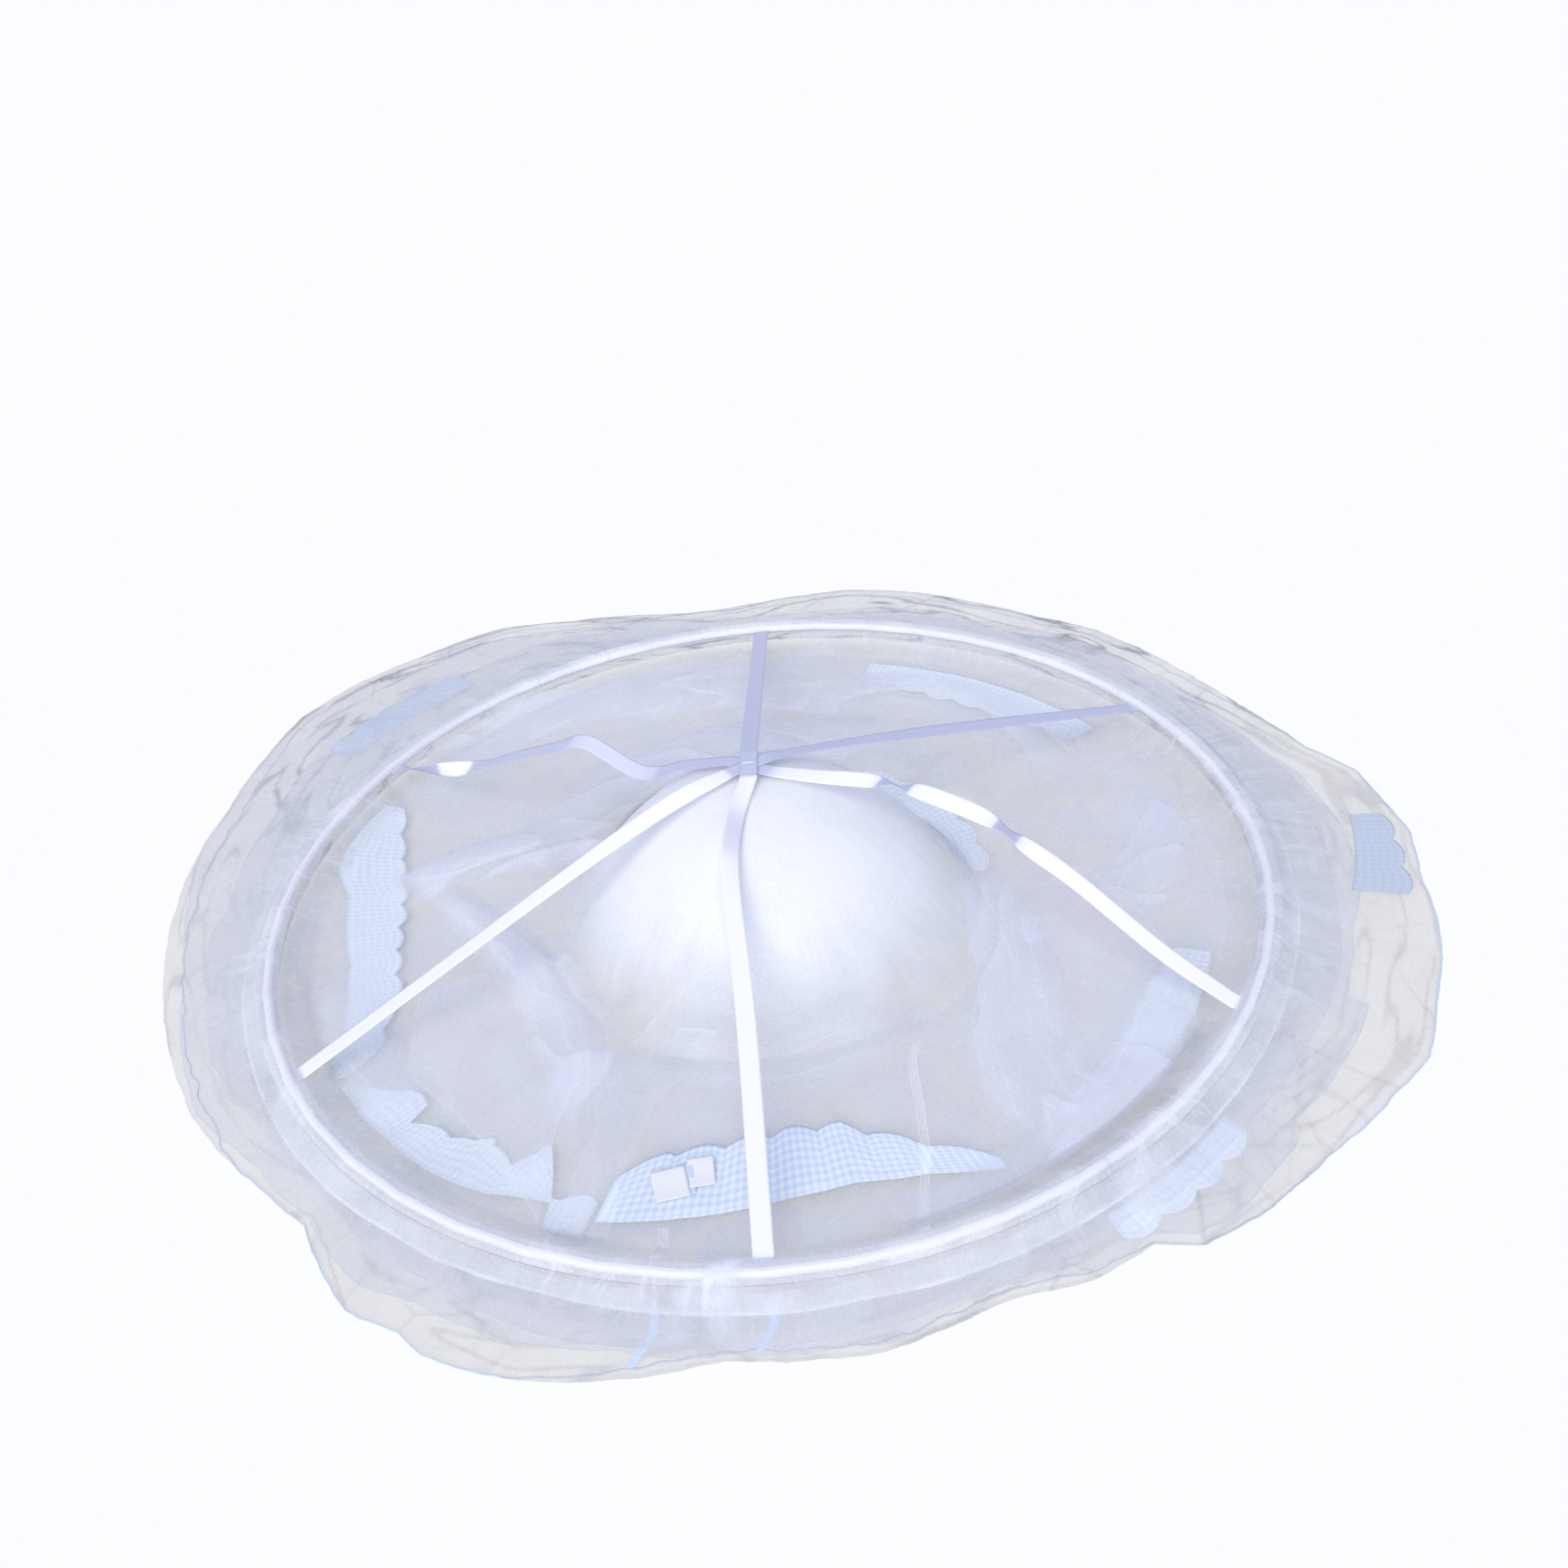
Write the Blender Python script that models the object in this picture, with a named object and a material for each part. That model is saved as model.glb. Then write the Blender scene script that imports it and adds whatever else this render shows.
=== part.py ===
"""Bed net with a sewn hoop, six ribbon arms and gingham frills, lowered flat on the floor.

The hoop axis is the world Z axis and the floor is z = 0. Bearings run anticlockwise from +X, and
the front of the net is at 270 degrees. All sizes are in metres.
"""

import math

import bmesh
import bpy
from mathutils import Vector

# Clearance between pieces that touch, and between loose layers that lie on each other
GAP = 0.0003
LAY_GAP = 0.0007

# Hoop, made from tube arcs that plug together
HOOP_R = 0.575
TUBE_D = 0.010
TUBE_BORE = 0.0074
TUBE_ARCS = 4
JOINER_LEN = 0.056
COLLAR_LEN = 0.002
PLUG_LEAD = 0.0034
PLUG_TAPER = 0.0007
TUBE_SEAT = 0.0012

# Sleeve that the hoop runs in, with its two edges seamed on the inner side
SLEEVE_W = 0.026
SLEEVE_H = 0.018
SLEEVE_WALL = 0.0012
SEAM_IN = 0.003
PLY = 0.0009

# Ribbon arms and the sewn crossing
STRAP_W = 0.020
STRAP_T = 0.0009
STRAP_EASE = 0.003
PATCH_W = 0.028
PATCH_T = 0.0015
HUB_FLAT = 0.026
STITCH_L = 0.013
STITCH_W = 0.0014
STITCH_H = 0.0009
FIRST_BEARING = 27.1

# Net lying under the hoop, the pile in its middle and the skirt round it
BED_T = 0.012
SKIRT_LOFT = 0.0307
SKIRT_EDGE = 0.006
PLEATS = 36
PLEAT_DEPTH = 0.007
PLEAT_SHARES = (0.30, 0.62)
HEAP_TOP = 0.186
HEAP_SPREAD = 0.245
HEAP_LEAN = 0.048
HEAP_CURVE = 1.7
HEAP_FOLDS = 12
HEAP_FOLD_DEPTH = 0.006
HEAP_BASE_R = 0.300
HEAP_EASE = 0.001

# Roof net between the pile and the hoop
ROOF_FOOT = 0.044
RIM_STEP = 0.026
RIM_SLOPE = 0.014

# Frills, their gingham hems, tapes, labels and bindings
FRILL_LANDING = 0.010
HEM_RIPPLE = 0.0014
SCALLOP_LEN = 0.046
SCALLOP_DEPTH = 0.010
TAPE_W = 0.009
LABEL_T = 0.0005
BINDING_W = 0.006
BINDING_T = 0.0035
BINDING_LIFT = 0.0012
DOOR_BEARING = 262.0
DOOR_TAPE_W = 0.012
DOOR_TAPE_T = 0.0012
DOOR_TAPE_BACK = 0.003

# Facets: the hoop is a polygon of straight chords, and round stock has eight sides
CHORDS = 48
ROUND_SIDES = 8
SLEEVE_POINTS = 9
LINING_POINTS = 7
PLEAT_STEPS = 4
HEAP_RINGS = 8
ARM_STEPS = 12
TAPE_STEPS = 4
MERGE = 1e-6

CHORD_ANGLE = 360.0 / CHORDS
SLEEVE_Z = SKIRT_LOFT + GAP + SLEEVE_H / 2
SLOT_H = 4 * GAP + 2 * PLY + STRAP_T
SLOT_Z = SLEEVE_Z - SLOT_H / 2
BED_TOP = BED_T + GAP
# Each door edge lies on the first pleat crest beside the opening
DOOR_LAP = 180.0 / PLEATS

# How far the skirt lies beyond the hoop, every 30 degrees from +X round by the back
SKIRT_REACHES = (
    0.185, 0.145, 0.160, 0.150, 0.245, 0.230,
    0.145, 0.085, 0.100, 0.070, 0.080, 0.170,
)

# Frill lengths: name, first and last bearing, side of the hoop, width of the frill
INWARD = -1
OUTWARD = 1
FRILLS = (
    ("frill_left", 149.6, 204.6, INWARD, 0.050),
    ("frill_front_left", 209.6, 255.2, INWARD, 0.050),
    ("frill_gather", 259.0, 264.8, OUTWARD, 0.057),
    ("frill_front", 269.6, 294.2, INWARD, 0.069),
    ("frill_front_right", 298.2, 313.4, OUTWARD, 0.033),
    ("frill_side_right", 315.8, 324.6, INWARD, 0.050),
    ("frill_right", 329.6, 384.6, OUTWARD, 0.097),
    ("frill_back_right", 29.6, 84.6, INWARD, 0.050),
    ("frill_back_left", 89.6, 144.6, OUTWARD, 0.095),
)

# Gingham hems: name, first and last bearing, side, sewn edge and free edge from the hoop
GINGHAMS = (
    ("gingham_left", 150.0, 206.0, INWARD, 0.0505, 0.1250),
    ("gingham_front_left", 208.5, 246.5, INWARD, 0.0505, 0.1190),
    ("gingham_front", 248.5, 292.0, INWARD, 0.0695, 0.1830),
    ("gingham_front_right", 299.0, 313.0, OUTWARD, 0.0335, 0.0850),
    ("gingham_side_right", 316.2, 338.0, INWARD, 0.0505, 0.1190),
    ("gingham_right", 346.0, 364.0, OUTWARD, 0.0975, 0.1650),
    ("gingham_back_right", 30.0, 70.0, INWARD, 0.0505, 0.1190),
    ("gingham_back_left", 126.0, 144.0, OUTWARD, 0.0955, 0.1630),
)
GINGHAM_T = 0.0016
# The length caught up on the pile: name, first chord, number of chords, distance from its foot
HEAP_GINGHAM = ("gingham_heap", -4, 8, 0.012)

# Seam tapes on the roof: name, bearing, how far the tape reaches in from the hoop
TAPES = (("seam_tape_front", 296.3, 0.245), ("seam_tape_label", 257.0, 0.066))

# Care labels on the front hem: name, distance from the hoop, bearing, turn, width and length
LABELS = (
    ("care_label_large", 0.116, 255.2, 22.0, 0.034, 0.036),
    ("care_label_small", 0.134, 259.6, 14.0, 0.026, 0.034),
)

# How far each of the six ribbon arms waves up and down, from the back right one anticlockwise
ARM_WAVES = (0.004, 0.000, 0.006, 0.000, 0.003, 0.006)
ARM_SPACING = 360.0 / len(ARM_WAVES)
ARM_WAVE_COUNT = 3

# Panels of the hanging net: name, first and last bearing
PANELS = (
    ("curtain_left", 142.0, DOOR_BEARING),
    ("curtain_right", DOOR_BEARING, 382.0),
    ("curtain_back", 22.0, 142.0),
)

# Panels of the roof round its crown: name, first and last bearing, the front seam under its tape
ROOF_PANELS = (
    ("roof_panel_back", 56.3, 176.3),
    ("roof_panel_front", 176.3, 296.3),
    ("roof_panel_right", 296.3, 416.3),
)


def clear_scene():
    """Remove what the file opened with."""
    for item in list(bpy.data.objects):
        bpy.data.objects.remove(item, do_unlink=True)


def material(name, colour, roughness, metallic=0.0, alpha=1.0):
    """Return a Principled material with a plain colour."""
    made = bpy.data.materials.new(name)
    made.use_nodes = True
    shader = made.node_tree.nodes["Principled BSDF"]
    shader.inputs["Base Color"].default_value = (*colour, 1.0)
    shader.inputs["Roughness"].default_value = roughness
    shader.inputs["Metallic"].default_value = metallic
    shader.inputs["Alpha"].default_value = alpha
    made.diffuse_color = (*colour, alpha)
    return made


def polar(radius, bearing, height):
    """Return the point at a radius and bearing round the hoop axis."""
    angle = math.radians(bearing)
    return Vector((radius * math.cos(angle), radius * math.sin(angle), height))


def chord(bearing):
    """Return how much the hoop's straight chord is drawn in from its circle at a bearing."""
    off = (bearing - FIRST_BEARING) % CHORD_ANGLE - CHORD_ANGLE / 2
    return math.cos(math.radians(CHORD_ANGLE / 2)) / math.cos(math.radians(off))


def reach(bearing):
    """Return the radius of the skirt's outer edge, on a smooth curve through its reaches."""
    count = len(SKIRT_REACHES)
    place = bearing * count / 360.0
    index = math.floor(place)
    share = place - index
    before, here, after, beyond = (SKIRT_REACHES[(index + turn) % count] for turn in (-1, 0, 1, 2))
    slope = after - before
    bend = 2.0 * before - 5.0 * here + 4.0 * after - beyond
    twist = 3.0 * (here - after) + beyond - before
    return HOOP_R + here + 0.5 * share * (slope + share * (bend + share * twist))


def heap_height(radius, bearing):
    """Return the height of the pile of net, a rounded cone with folds that leans to the front."""
    spread = HEAP_SPREAD - HEAP_LEAN * math.sin(math.radians(bearing))
    share = min(radius / spread, 1.0)
    crest = math.cos(math.radians(HEAP_FOLDS * (bearing - FIRST_BEARING)))
    fold = HEAP_FOLD_DEPTH / 2 * crest * math.sin(math.pi * share)
    return BED_T + (HEAP_TOP - BED_T) * (1.0 - share**HEAP_CURVE) + fold


def roof_height(radius, bearing):
    """Return the height of the roof net's lower face over the pile and the bed."""
    rise = heap_height(radius, bearing) - BED_T
    return BED_TOP + rise + HEAP_EASE * rise / (HEAP_TOP - BED_T)


def skirt_crest(radius, bearing):
    """Return the height of the skirt's pleat crests, which fall evenly to its edge."""
    start = HOOP_R + SLEEVE_W / 2
    share = (radius - start) / (reach(bearing) - start)
    share = min(max(share, 0.0), 1.0)
    return SKIRT_LOFT + (SKIRT_EDGE - SKIRT_LOFT) * share


def offset_line(points, distance):
    """Return a line parallel to one in the plane of radius and height, to its left."""
    normals = []
    for (r0, z0), (r1, z1) in zip(points, points[1:]):
        length = math.hypot(r1 - r0, z1 - z0)
        normals.append(((z0 - z1) / length, (r1 - r0) / length))
    moved = []
    for index, (r, z) in enumerate(points):
        before = normals[max(index - 1, 0)]
        after = normals[min(index, len(normals) - 1)]
        mean = (before[0] + after[0], before[1] + after[1])
        scale = 2.0 / (mean[0] ** 2 + mean[1] ** 2)
        moved.append((r + distance * mean[0] * scale, z + distance * mean[1] * scale))
    return moved


def bearings(first, last, step, phase=FIRST_BEARING):
    """Return the first and last bearing and the lattice bearings between them."""
    margin = step / 20.0
    index = math.floor((first - phase) / step) + 1
    found = [first]
    while phase + index * step < last - margin:
        if phase + index * step > first + margin:
            found.append(phase + index * step)
        index += 1
    return found + [last]


def even(first, last, count):
    """Return count + 1 evenly spaced values."""
    return [first + (last - first) * index / count for index in range(count + 1)]


def skin(name, sections, closed, finish):
    """Skin a row of equal closed sections, cap an open row and merge poles.

    Each four-sided patch is split from its inner near corner to its outer far one, so that two
    layers with the same stations stay parallel.
    """
    mesh = bmesh.new()
    rows = [[mesh.verts.new(point) for point in section] for section in sections]
    sides = len(rows[0])
    spans = len(rows) if closed else len(rows) - 1
    for row in range(spans):
        near = rows[row]
        far = rows[(row + 1) % len(rows)]
        for side in range(sides):
            after = (side + 1) % sides
            if near[after].co.xy.length >= near[side].co.xy.length:
                mesh.faces.new((near[side], near[after], far[after]))
                mesh.faces.new((near[side], far[after], far[side]))
            else:
                mesh.faces.new((near[side], near[after], far[side]))
                mesh.faces.new((near[after], far[after], far[side]))
    if not closed:
        mesh.faces.new(rows[0])
        mesh.faces.new(rows[-1])
    bmesh.ops.remove_doubles(mesh, verts=mesh.verts, dist=MERGE)
    bmesh.ops.triangulate(mesh, faces=[f for f in mesh.faces if len(f.verts) > 3])
    bmesh.ops.recalc_face_normals(mesh, faces=mesh.faces)
    data = bpy.data.meshes.new(name)
    mesh.to_mesh(data)
    mesh.free()
    data.materials.append(finish)
    made = bpy.data.objects.new(name, data)
    bpy.context.collection.objects.link(made)
    return made


def smooth(made, angle=40.0):
    """Shade a round piece smooth, with its real corners sharp."""
    made.data.shade_smooth()
    made.data.set_sharp_from_angle(angle=math.radians(angle))
    return made


def axis_empty(name, height):
    """Return an empty on the hoop axis that the pieces of a moving body hang from."""
    made = bpy.data.objects.new(name, None)
    made.location = (0.0, 0.0, height)
    bpy.context.collection.objects.link(made)
    return made


def hang(pieces, parent):
    """Parent the pieces to an empty without moving them."""
    for piece in pieces:
        piece.parent = parent
        piece.matrix_parent_inverse.translation = -parent.location


def ring(radius, sides=ROUND_SIDES):
    """Return the corners of a round bar's section, with a flat side down."""
    turn = [math.tau * (index + 0.5) / sides for index in range(sides)]
    return [(radius * math.cos(angle), radius * math.sin(angle)) for angle in turn]


def sleeve_line(width, height, count):
    """Return the sleeve's outer or inner face, from the lower lip round to the upper lip."""
    lip = math.pi - math.asin(SLOT_H / height)
    turn = even(-lip, lip, count - 1)
    return [
        (HOOP_R + width / 2 * math.cos(angle), SLEEVE_Z + height / 2 * math.sin(angle))
        for angle in turn
    ]


def sleeve_outside():
    """Return the sleeve's outer face as a line of radius and height."""
    return sleeve_line(SLEEVE_W, SLEEVE_H, SLEEVE_POINTS)


def lip_radius():
    """Return the radius of the sleeve's seam edge."""
    return sleeve_outside()[-1][0]


def seam_line():
    """Return the lower face of the layers sewn in the sleeve's seam and laid inwards."""
    lip = lip_radius()
    return [
        (lip + SEAM_IN, SLOT_Z + GAP),
        (lip - STRAP_EASE, SLOT_Z + GAP),
        (HOOP_R - ROOF_FOOT, BED_TOP),
    ]


def layered(line, below, thickness):
    """Return the lower and upper face of a layer that lies on a line drawn inwards."""
    return offset_line(line, -below), offset_line(line, -(below + thickness))


def section_at(bearing, faces):
    """Return the closed section made by two faces, placed at a bearing on the hoop's chords."""
    lower, upper = faces
    loop = list(lower) + list(reversed(upper))
    return [polar(r * chord(bearing), bearing, z) for r, z in loop]


def tube_height():
    """Return the height of the tubes' axis, low in the sleeve."""
    return SLEEVE_Z - (SLEEVE_H / 2 - SLEEVE_WALL - TUBE_D / 2 - TUBE_SEAT)


def make_tubes(finish):
    """Return the hoop's tube arcs, each cut off square beside a joiner's collar."""
    made = []
    height = tube_height()
    span = 360.0 / TUBE_ARCS
    back = math.degrees((COLLAR_LEN / 2 + GAP) / HOOP_R)
    start = FIRST_BEARING + CHORD_ANGLE / 2
    for arc in range(TUBE_ARCS):
        first = start + arc * span + back
        last = start + (arc + 1) * span - back
        stations = bearings(first, last, CHORD_ANGLE)
        outer = []
        inner = []
        for bearing in stations:
            middle = HOOP_R * chord(bearing)
            outer.append([polar(middle + x, bearing, height + z) for x, z in ring(TUBE_D / 2)])
            inner.append([polar(middle + x, bearing, height + z) for x, z in ring(TUBE_BORE / 2)])
        rows = outer + list(reversed(inner))
        made.append(smooth(skin(f"hoop_tube_{arc + 1}", rows, True, finish)))
    return made


def make_joiners(finish):
    """Return the plugs that join the tube arcs, each with a collar between the tube ends."""
    made = []
    height = tube_height()
    plug = TUBE_BORE / 2 - GAP
    half = JOINER_LEN / 2
    neck = COLLAR_LEN / 2
    profile = (
        (-half, plug - PLUG_TAPER),
        (-half + PLUG_LEAD, plug),
        (-neck, plug),
        (-neck, TUBE_D / 2),
        (neck, TUBE_D / 2),
        (neck, plug),
        (half - PLUG_LEAD, plug),
        (half, plug - PLUG_TAPER),
    )
    for arc in range(TUBE_ARCS):
        bearing = FIRST_BEARING + CHORD_ANGLE / 2 + arc * 360.0 / TUBE_ARCS
        centre = polar(HOOP_R * chord(bearing), bearing, height)
        out = polar(1.0, bearing, 0.0)
        along = polar(1.0, bearing + 90.0, 0.0)
        up = Vector((0.0, 0.0, 1.0))
        rows = []
        for distance, radius in profile:
            rows.append([centre + along * distance + out * x + up * z for x, z in ring(radius)])
        made.append(smooth(skin(f"hoop_joiner_{arc + 1}", rows, False, finish)))
    return made


def make_sleeve(finish):
    """Return the sleeve, an oval casing with its seam open by the layers sewn in it."""
    outside = sleeve_outside()
    inner_w = SLEEVE_W - 2 * SLEEVE_WALL
    inside = sleeve_line(inner_w, SLEEVE_H - 2 * SLEEVE_WALL, LINING_POINTS)
    loop = outside + list(reversed(inside))
    rows = []
    for index in range(CHORDS):
        bearing = FIRST_BEARING + index * CHORD_ANGLE
        rows.append([polar(r, bearing, z) for r, z in loop])
    return smooth(skin("hoop_sleeve", rows, True, finish), 50.0)


def heap_rings():
    """Return the radii at which the pile and the roof over it are drawn."""
    return even(0.0, HEAP_BASE_R, HEAP_RINGS)


def make_heap(finish):
    """Return the pile of net in the middle, with a flat underside."""
    rows = []
    for index in range(CHORDS):
        bearing = FIRST_BEARING + index * CHORD_ANGLE
        row = [polar(r, bearing, heap_height(r, bearing)) for r in heap_rings()]
        row += [polar(HEAP_BASE_R, bearing, 0.0), Vector((0.0, 0.0, 0.0))]
        rows.append(row)
    return smooth(skin("net_heap", rows, True, finish))


def make_roof_crown(finish):
    """Return the roof's crown of net, draped over the pile."""
    radii = heap_rings()[:-1] + [HEAP_BASE_R - GAP / 2]
    rows = []
    for index in range(CHORDS):
        bearing = FIRST_BEARING + index * CHORD_ANGLE
        lower = [polar(r, bearing, roof_height(r, bearing)) for r in radii]
        upper = [point + Vector((0.0, 0.0, PLY)) for point in lower]
        rows.append(lower + list(reversed(upper)))
    return smooth(skin("roof_crown", rows, True, finish))


def make_roof_panel(name, first, last, finish):
    """Return one roof panel: flat on the bed, then up into the sleeve's seam."""
    inner = HEAP_BASE_R + GAP / 2
    trim = math.degrees(GAP / 2 / inner)
    faces = layered(seam_line() + [(inner, BED_TOP)], 0.0, PLY)
    stations = bearings(first + trim, last - trim, CHORD_ANGLE)
    return skin(name, [section_at(bearing, faces) for bearing in stations], False, finish)


def bed_edge():
    """Return the radius at which the panels start, clear of the pile."""
    return HEAP_BASE_R + GAP + LAY_GAP / 2


def panel_bearings(first, last):
    """Return the stations along a panel, each end held clear of the next panel."""
    trim = math.degrees(GAP / bed_edge())
    count = round(PLEAT_STEPS * PLEATS * (last - first) / 360.0)
    return even(first + trim, last - trim, count)


def make_curtain(name, first, last, finish):
    """Return one panel of the hanging net: a bed under the roof and a pleated skirt outside."""
    inner = bed_edge()
    knee = HOOP_R - RIM_STEP
    under = knee + RIM_SLOPE
    shoulder = HOOP_R + SLEEVE_W / 2
    rows = []
    for bearing in panel_bearings(first, last):
        edge = reach(bearing)
        row = [
            polar(inner, bearing, 0.0),
            polar(inner, bearing, BED_T),
            polar(knee, bearing, BED_T),
            polar(under, bearing, SKIRT_LOFT),
            polar(shoulder, bearing, SKIRT_LOFT),
        ]
        wave = 0.5 + 0.5 * math.cos(math.radians(PLEATS * (bearing - first)))
        for share in PLEAT_SHARES:
            radius = shoulder + (edge - shoulder) * share
            dip = PLEAT_DEPTH * wave * math.sin(math.pi * share)
            row.append(polar(radius, bearing, skirt_crest(radius, bearing) - dip))
        row += [polar(edge, bearing, SKIRT_EDGE), polar(edge, bearing, 0.0)]
        rows.append(row)
    return skin(name, rows, False, finish)


def make_binding(name, first, last, finish):
    """Return the blue binding along a panel's outer edge, clear of the floor."""
    rows = []
    for bearing in panel_bearings(first, last):
        near = reach(bearing) + GAP
        far = near + BINDING_W
        rows.append(
            [
                polar(near, bearing, BINDING_LIFT),
                polar(far, bearing, BINDING_LIFT),
                polar(far, bearing, BINDING_LIFT + BINDING_T / 2),
                polar(near, bearing, BINDING_LIFT + BINDING_T),
            ]
        )
    return skin(name, rows, False, finish)


def make_door_tape(name, bearing, finish):
    """Return the blue tape on a door edge, laid on the skirt from the sleeve to the hem."""
    start = HOOP_R + SLEEVE_W / 2 + DOOR_TAPE_W / 2
    stop = reach(bearing) - DOOR_TAPE_BACK
    side = polar(DOOR_TAPE_W / 2, bearing + 90.0, 0.0)
    rows = []
    for radius in even(start, stop, TAPE_STEPS):
        low = polar(radius, bearing, skirt_crest(radius, bearing) + LAY_GAP)
        high = low + Vector((0.0, 0.0, DOOR_TAPE_T))
        rows.append([low - side, low + side, high + side, high - side])
    return skin(name, rows, False, finish)


def inward_faces(free):
    """Return the two faces of a layer laid inwards on the roof, as far as a radius."""
    line = seam_line() + [(free, BED_TOP)]
    return layered(line, PLY + GAP, PLY)


def outward_faces(free, bearing):
    """Return the two faces of a layer that leaves the seam, crosses the sleeve and lies outside."""
    around = offset_line(sleeve_outside(), -GAP)
    lip = lip_radius() - 2 * GAP
    seat = SLOT_Z + 2 * GAP + 2 * PLY
    line = [(lip_radius() + SEAM_IN, seat), (lip, seat), (lip, SLOT_Z + SLOT_H)]
    line += reversed(around[SLEEVE_POINTS // 2 : -1])
    start = HOOP_R + SLEEVE_W / 2 + FRILL_LANDING
    for radius in even(start, free, 2):
        drawn = radius * chord(bearing)
        line.append((radius, skirt_crest(drawn, bearing) + LAY_GAP))
    return line, offset_line(line, PLY)


def make_frill(name, first, last, side, width, finish):
    """Return one length of net frill, from the seam to its gingham hem."""
    free = HOOP_R + side * width
    rows = []
    for bearing in bearings(first, last, CHORD_ANGLE):
        faces = inward_faces(free) if side == INWARD else outward_faces(free, bearing)
        rows.append(section_at(bearing, faces))
    return skin(name, rows, False, finish)


def scallops(first, last, radius):
    """Return the bearings along a scalloped edge and how far each is drawn in."""
    length = math.radians(last - first) * radius
    count = max(round(length / SCALLOP_LEN), 1)
    return [
        (first + (last - first) * step / (3 * count), abs(math.sin(math.pi * step / 3)))
        for step in range(3 * count + 1)
    ]


def make_gingham(name, first, last, side, sewn_edge, free_edge, finish):
    """Return one length of gingham hem with a scalloped free edge and a low ripple."""
    free = HOOP_R + side * free_edge
    inner, outer = sorted((HOOP_R + side * sewn_edge, free))
    rows = []
    for bearing, bulge in scallops(first, last, free):
        drawn = SCALLOP_DEPTH * (1.0 - bulge)
        near = inner + GAP + (drawn if side == INWARD else 0.0)
        far = outer - GAP - (drawn if side == OUTWARD else 0.0)
        lower = []
        upper = []
        for share in (0.0, 0.5, 1.0):
            radius = near + (far - near) * share
            place = radius * chord(bearing)
            if side == INWARD:
                base = BED_TOP + PLY + GAP
            else:
                base = skirt_crest(place, bearing) + LAY_GAP
            ripple = HEM_RIPPLE * bulge * (1.0 - abs(2.0 * share - 1.0))
            lower.append(polar(place, bearing, base))
            upper.append(polar(place, bearing, base + GINGHAM_T + ripple))
        rows.append(lower + list(reversed(upper)))
    return skin(name, rows, False, finish)


def make_heap_gingham(finish):
    """Return the length of gingham hem caught up on the pile, on the roof's own rings and chords."""
    name, first, count, back = HEAP_GINGHAM
    rise = Vector((0.0, 0.0, PLY + LAY_GAP))
    thick = Vector((0.0, 0.0, GINGHAM_T))
    rows = []
    for step in range(count + 1):
        bearing = FIRST_BEARING + (first + step) * CHORD_ANGLE
        edge = HEAP_BASE_R - back - SCALLOP_DEPTH * (step % 2)
        radii = heap_rings()[-3:-1] + [edge]
        lower = [polar(r, bearing, roof_height(r, bearing)) + rise for r in radii]
        upper = [point + thick for point in lower]
        rows.append(lower + list(reversed(upper)))
    return skin(name, rows, False, finish)


def make_tape(name, bearing, length, finish):
    """Return a seam tape on the roof, from the sleeve's seam to where the panel seam ends."""
    free = HOOP_R - length
    half = math.degrees(TAPE_W / 2 / HOOP_R)
    rows = [section_at(place, inward_faces(free)) for place in (bearing - half, bearing + half)]
    return skin(name, rows, False, finish)


def make_label(name, back, bearing, turn, width, length, finish):
    """Return a blank care label lying on the front gingham hem."""
    base = BED_TOP + PLY + GAP + GINGHAM_T + HEM_RIPPLE + GAP
    centre = polar(HOOP_R - back, bearing, base)
    across = polar(width / 2, bearing + 90.0 + turn, 0.0)
    along = polar(length / 2, bearing + turn, 0.0)
    corners = [centre - across - along, centre + across - along]
    corners += [centre + across + along, centre - across + along]
    top = [corner + Vector((0.0, 0.0, LABEL_T)) for corner in corners]
    return skin(name, [corners, top], False, finish)


def hub_base():
    """Return the height of the underside of the patch on top of the pile."""
    return roof_height(0.0, 0.0) + PLY + GAP


def ribbon_height(order):
    """Return the lower face of a ribbon where the three cross, counted from the lowest."""
    return hub_base() + PATCH_T + GAP + order * (STRAP_T + GAP)


def arm_line(order, wave):
    """Return one arm's lower face from the crossing to the seam as distance and height."""
    high = ribbon_height(order)
    low = SLOT_Z + 3 * GAP + 2 * PLY
    foot = lip_radius() - STRAP_EASE
    line = []
    for share in even(0.0, 1.0, ARM_STEPS):
        distance = HUB_FLAT + (foot - HUB_FLAT) * share
        swell = wave * math.sin(ARM_WAVE_COUNT * math.pi * share) * math.sin(math.pi * share)
        line.append((distance, high + (low - high) * share + swell))
    return line + [(lip_radius() + SEAM_IN, low)]


def make_ribbon(name, order, arms, finish):
    """Return a ribbon that runs from seam to seam across the hub."""
    here, there = arms
    bearing = FIRST_BEARING + ARM_SPACING * here
    along = polar(1.0, bearing, 0.0)
    side = polar(STRAP_W / 2, bearing + 90.0, 0.0)
    up = Vector((0.0, 0.0, 1.0))
    line = [(-distance, height) for distance, height in reversed(arm_line(order, ARM_WAVES[there]))]
    line += arm_line(order, ARM_WAVES[here])
    rows = []
    for distance, height in line:
        low = along * distance + up * height
        high = low + up * STRAP_T
        rows.append([low - side, low + side, high + side, high - side])
    return skin(name, rows, False, finish)


def make_block(name, width, depth, low, thickness, turn, finish):
    """Return a flat block centred on the hoop axis."""
    across = polar(width / 2, turn, 0.0)
    along = polar(depth / 2, turn + 90.0, 0.0)
    base = Vector((0.0, 0.0, low))
    corners = [base - across - along, base + across - along]
    corners += [base + across + along, base - across + along]
    top = [corner + Vector((0.0, 0.0, thickness)) for corner in corners]
    return skin(name, [corners, top], False, finish)


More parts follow.
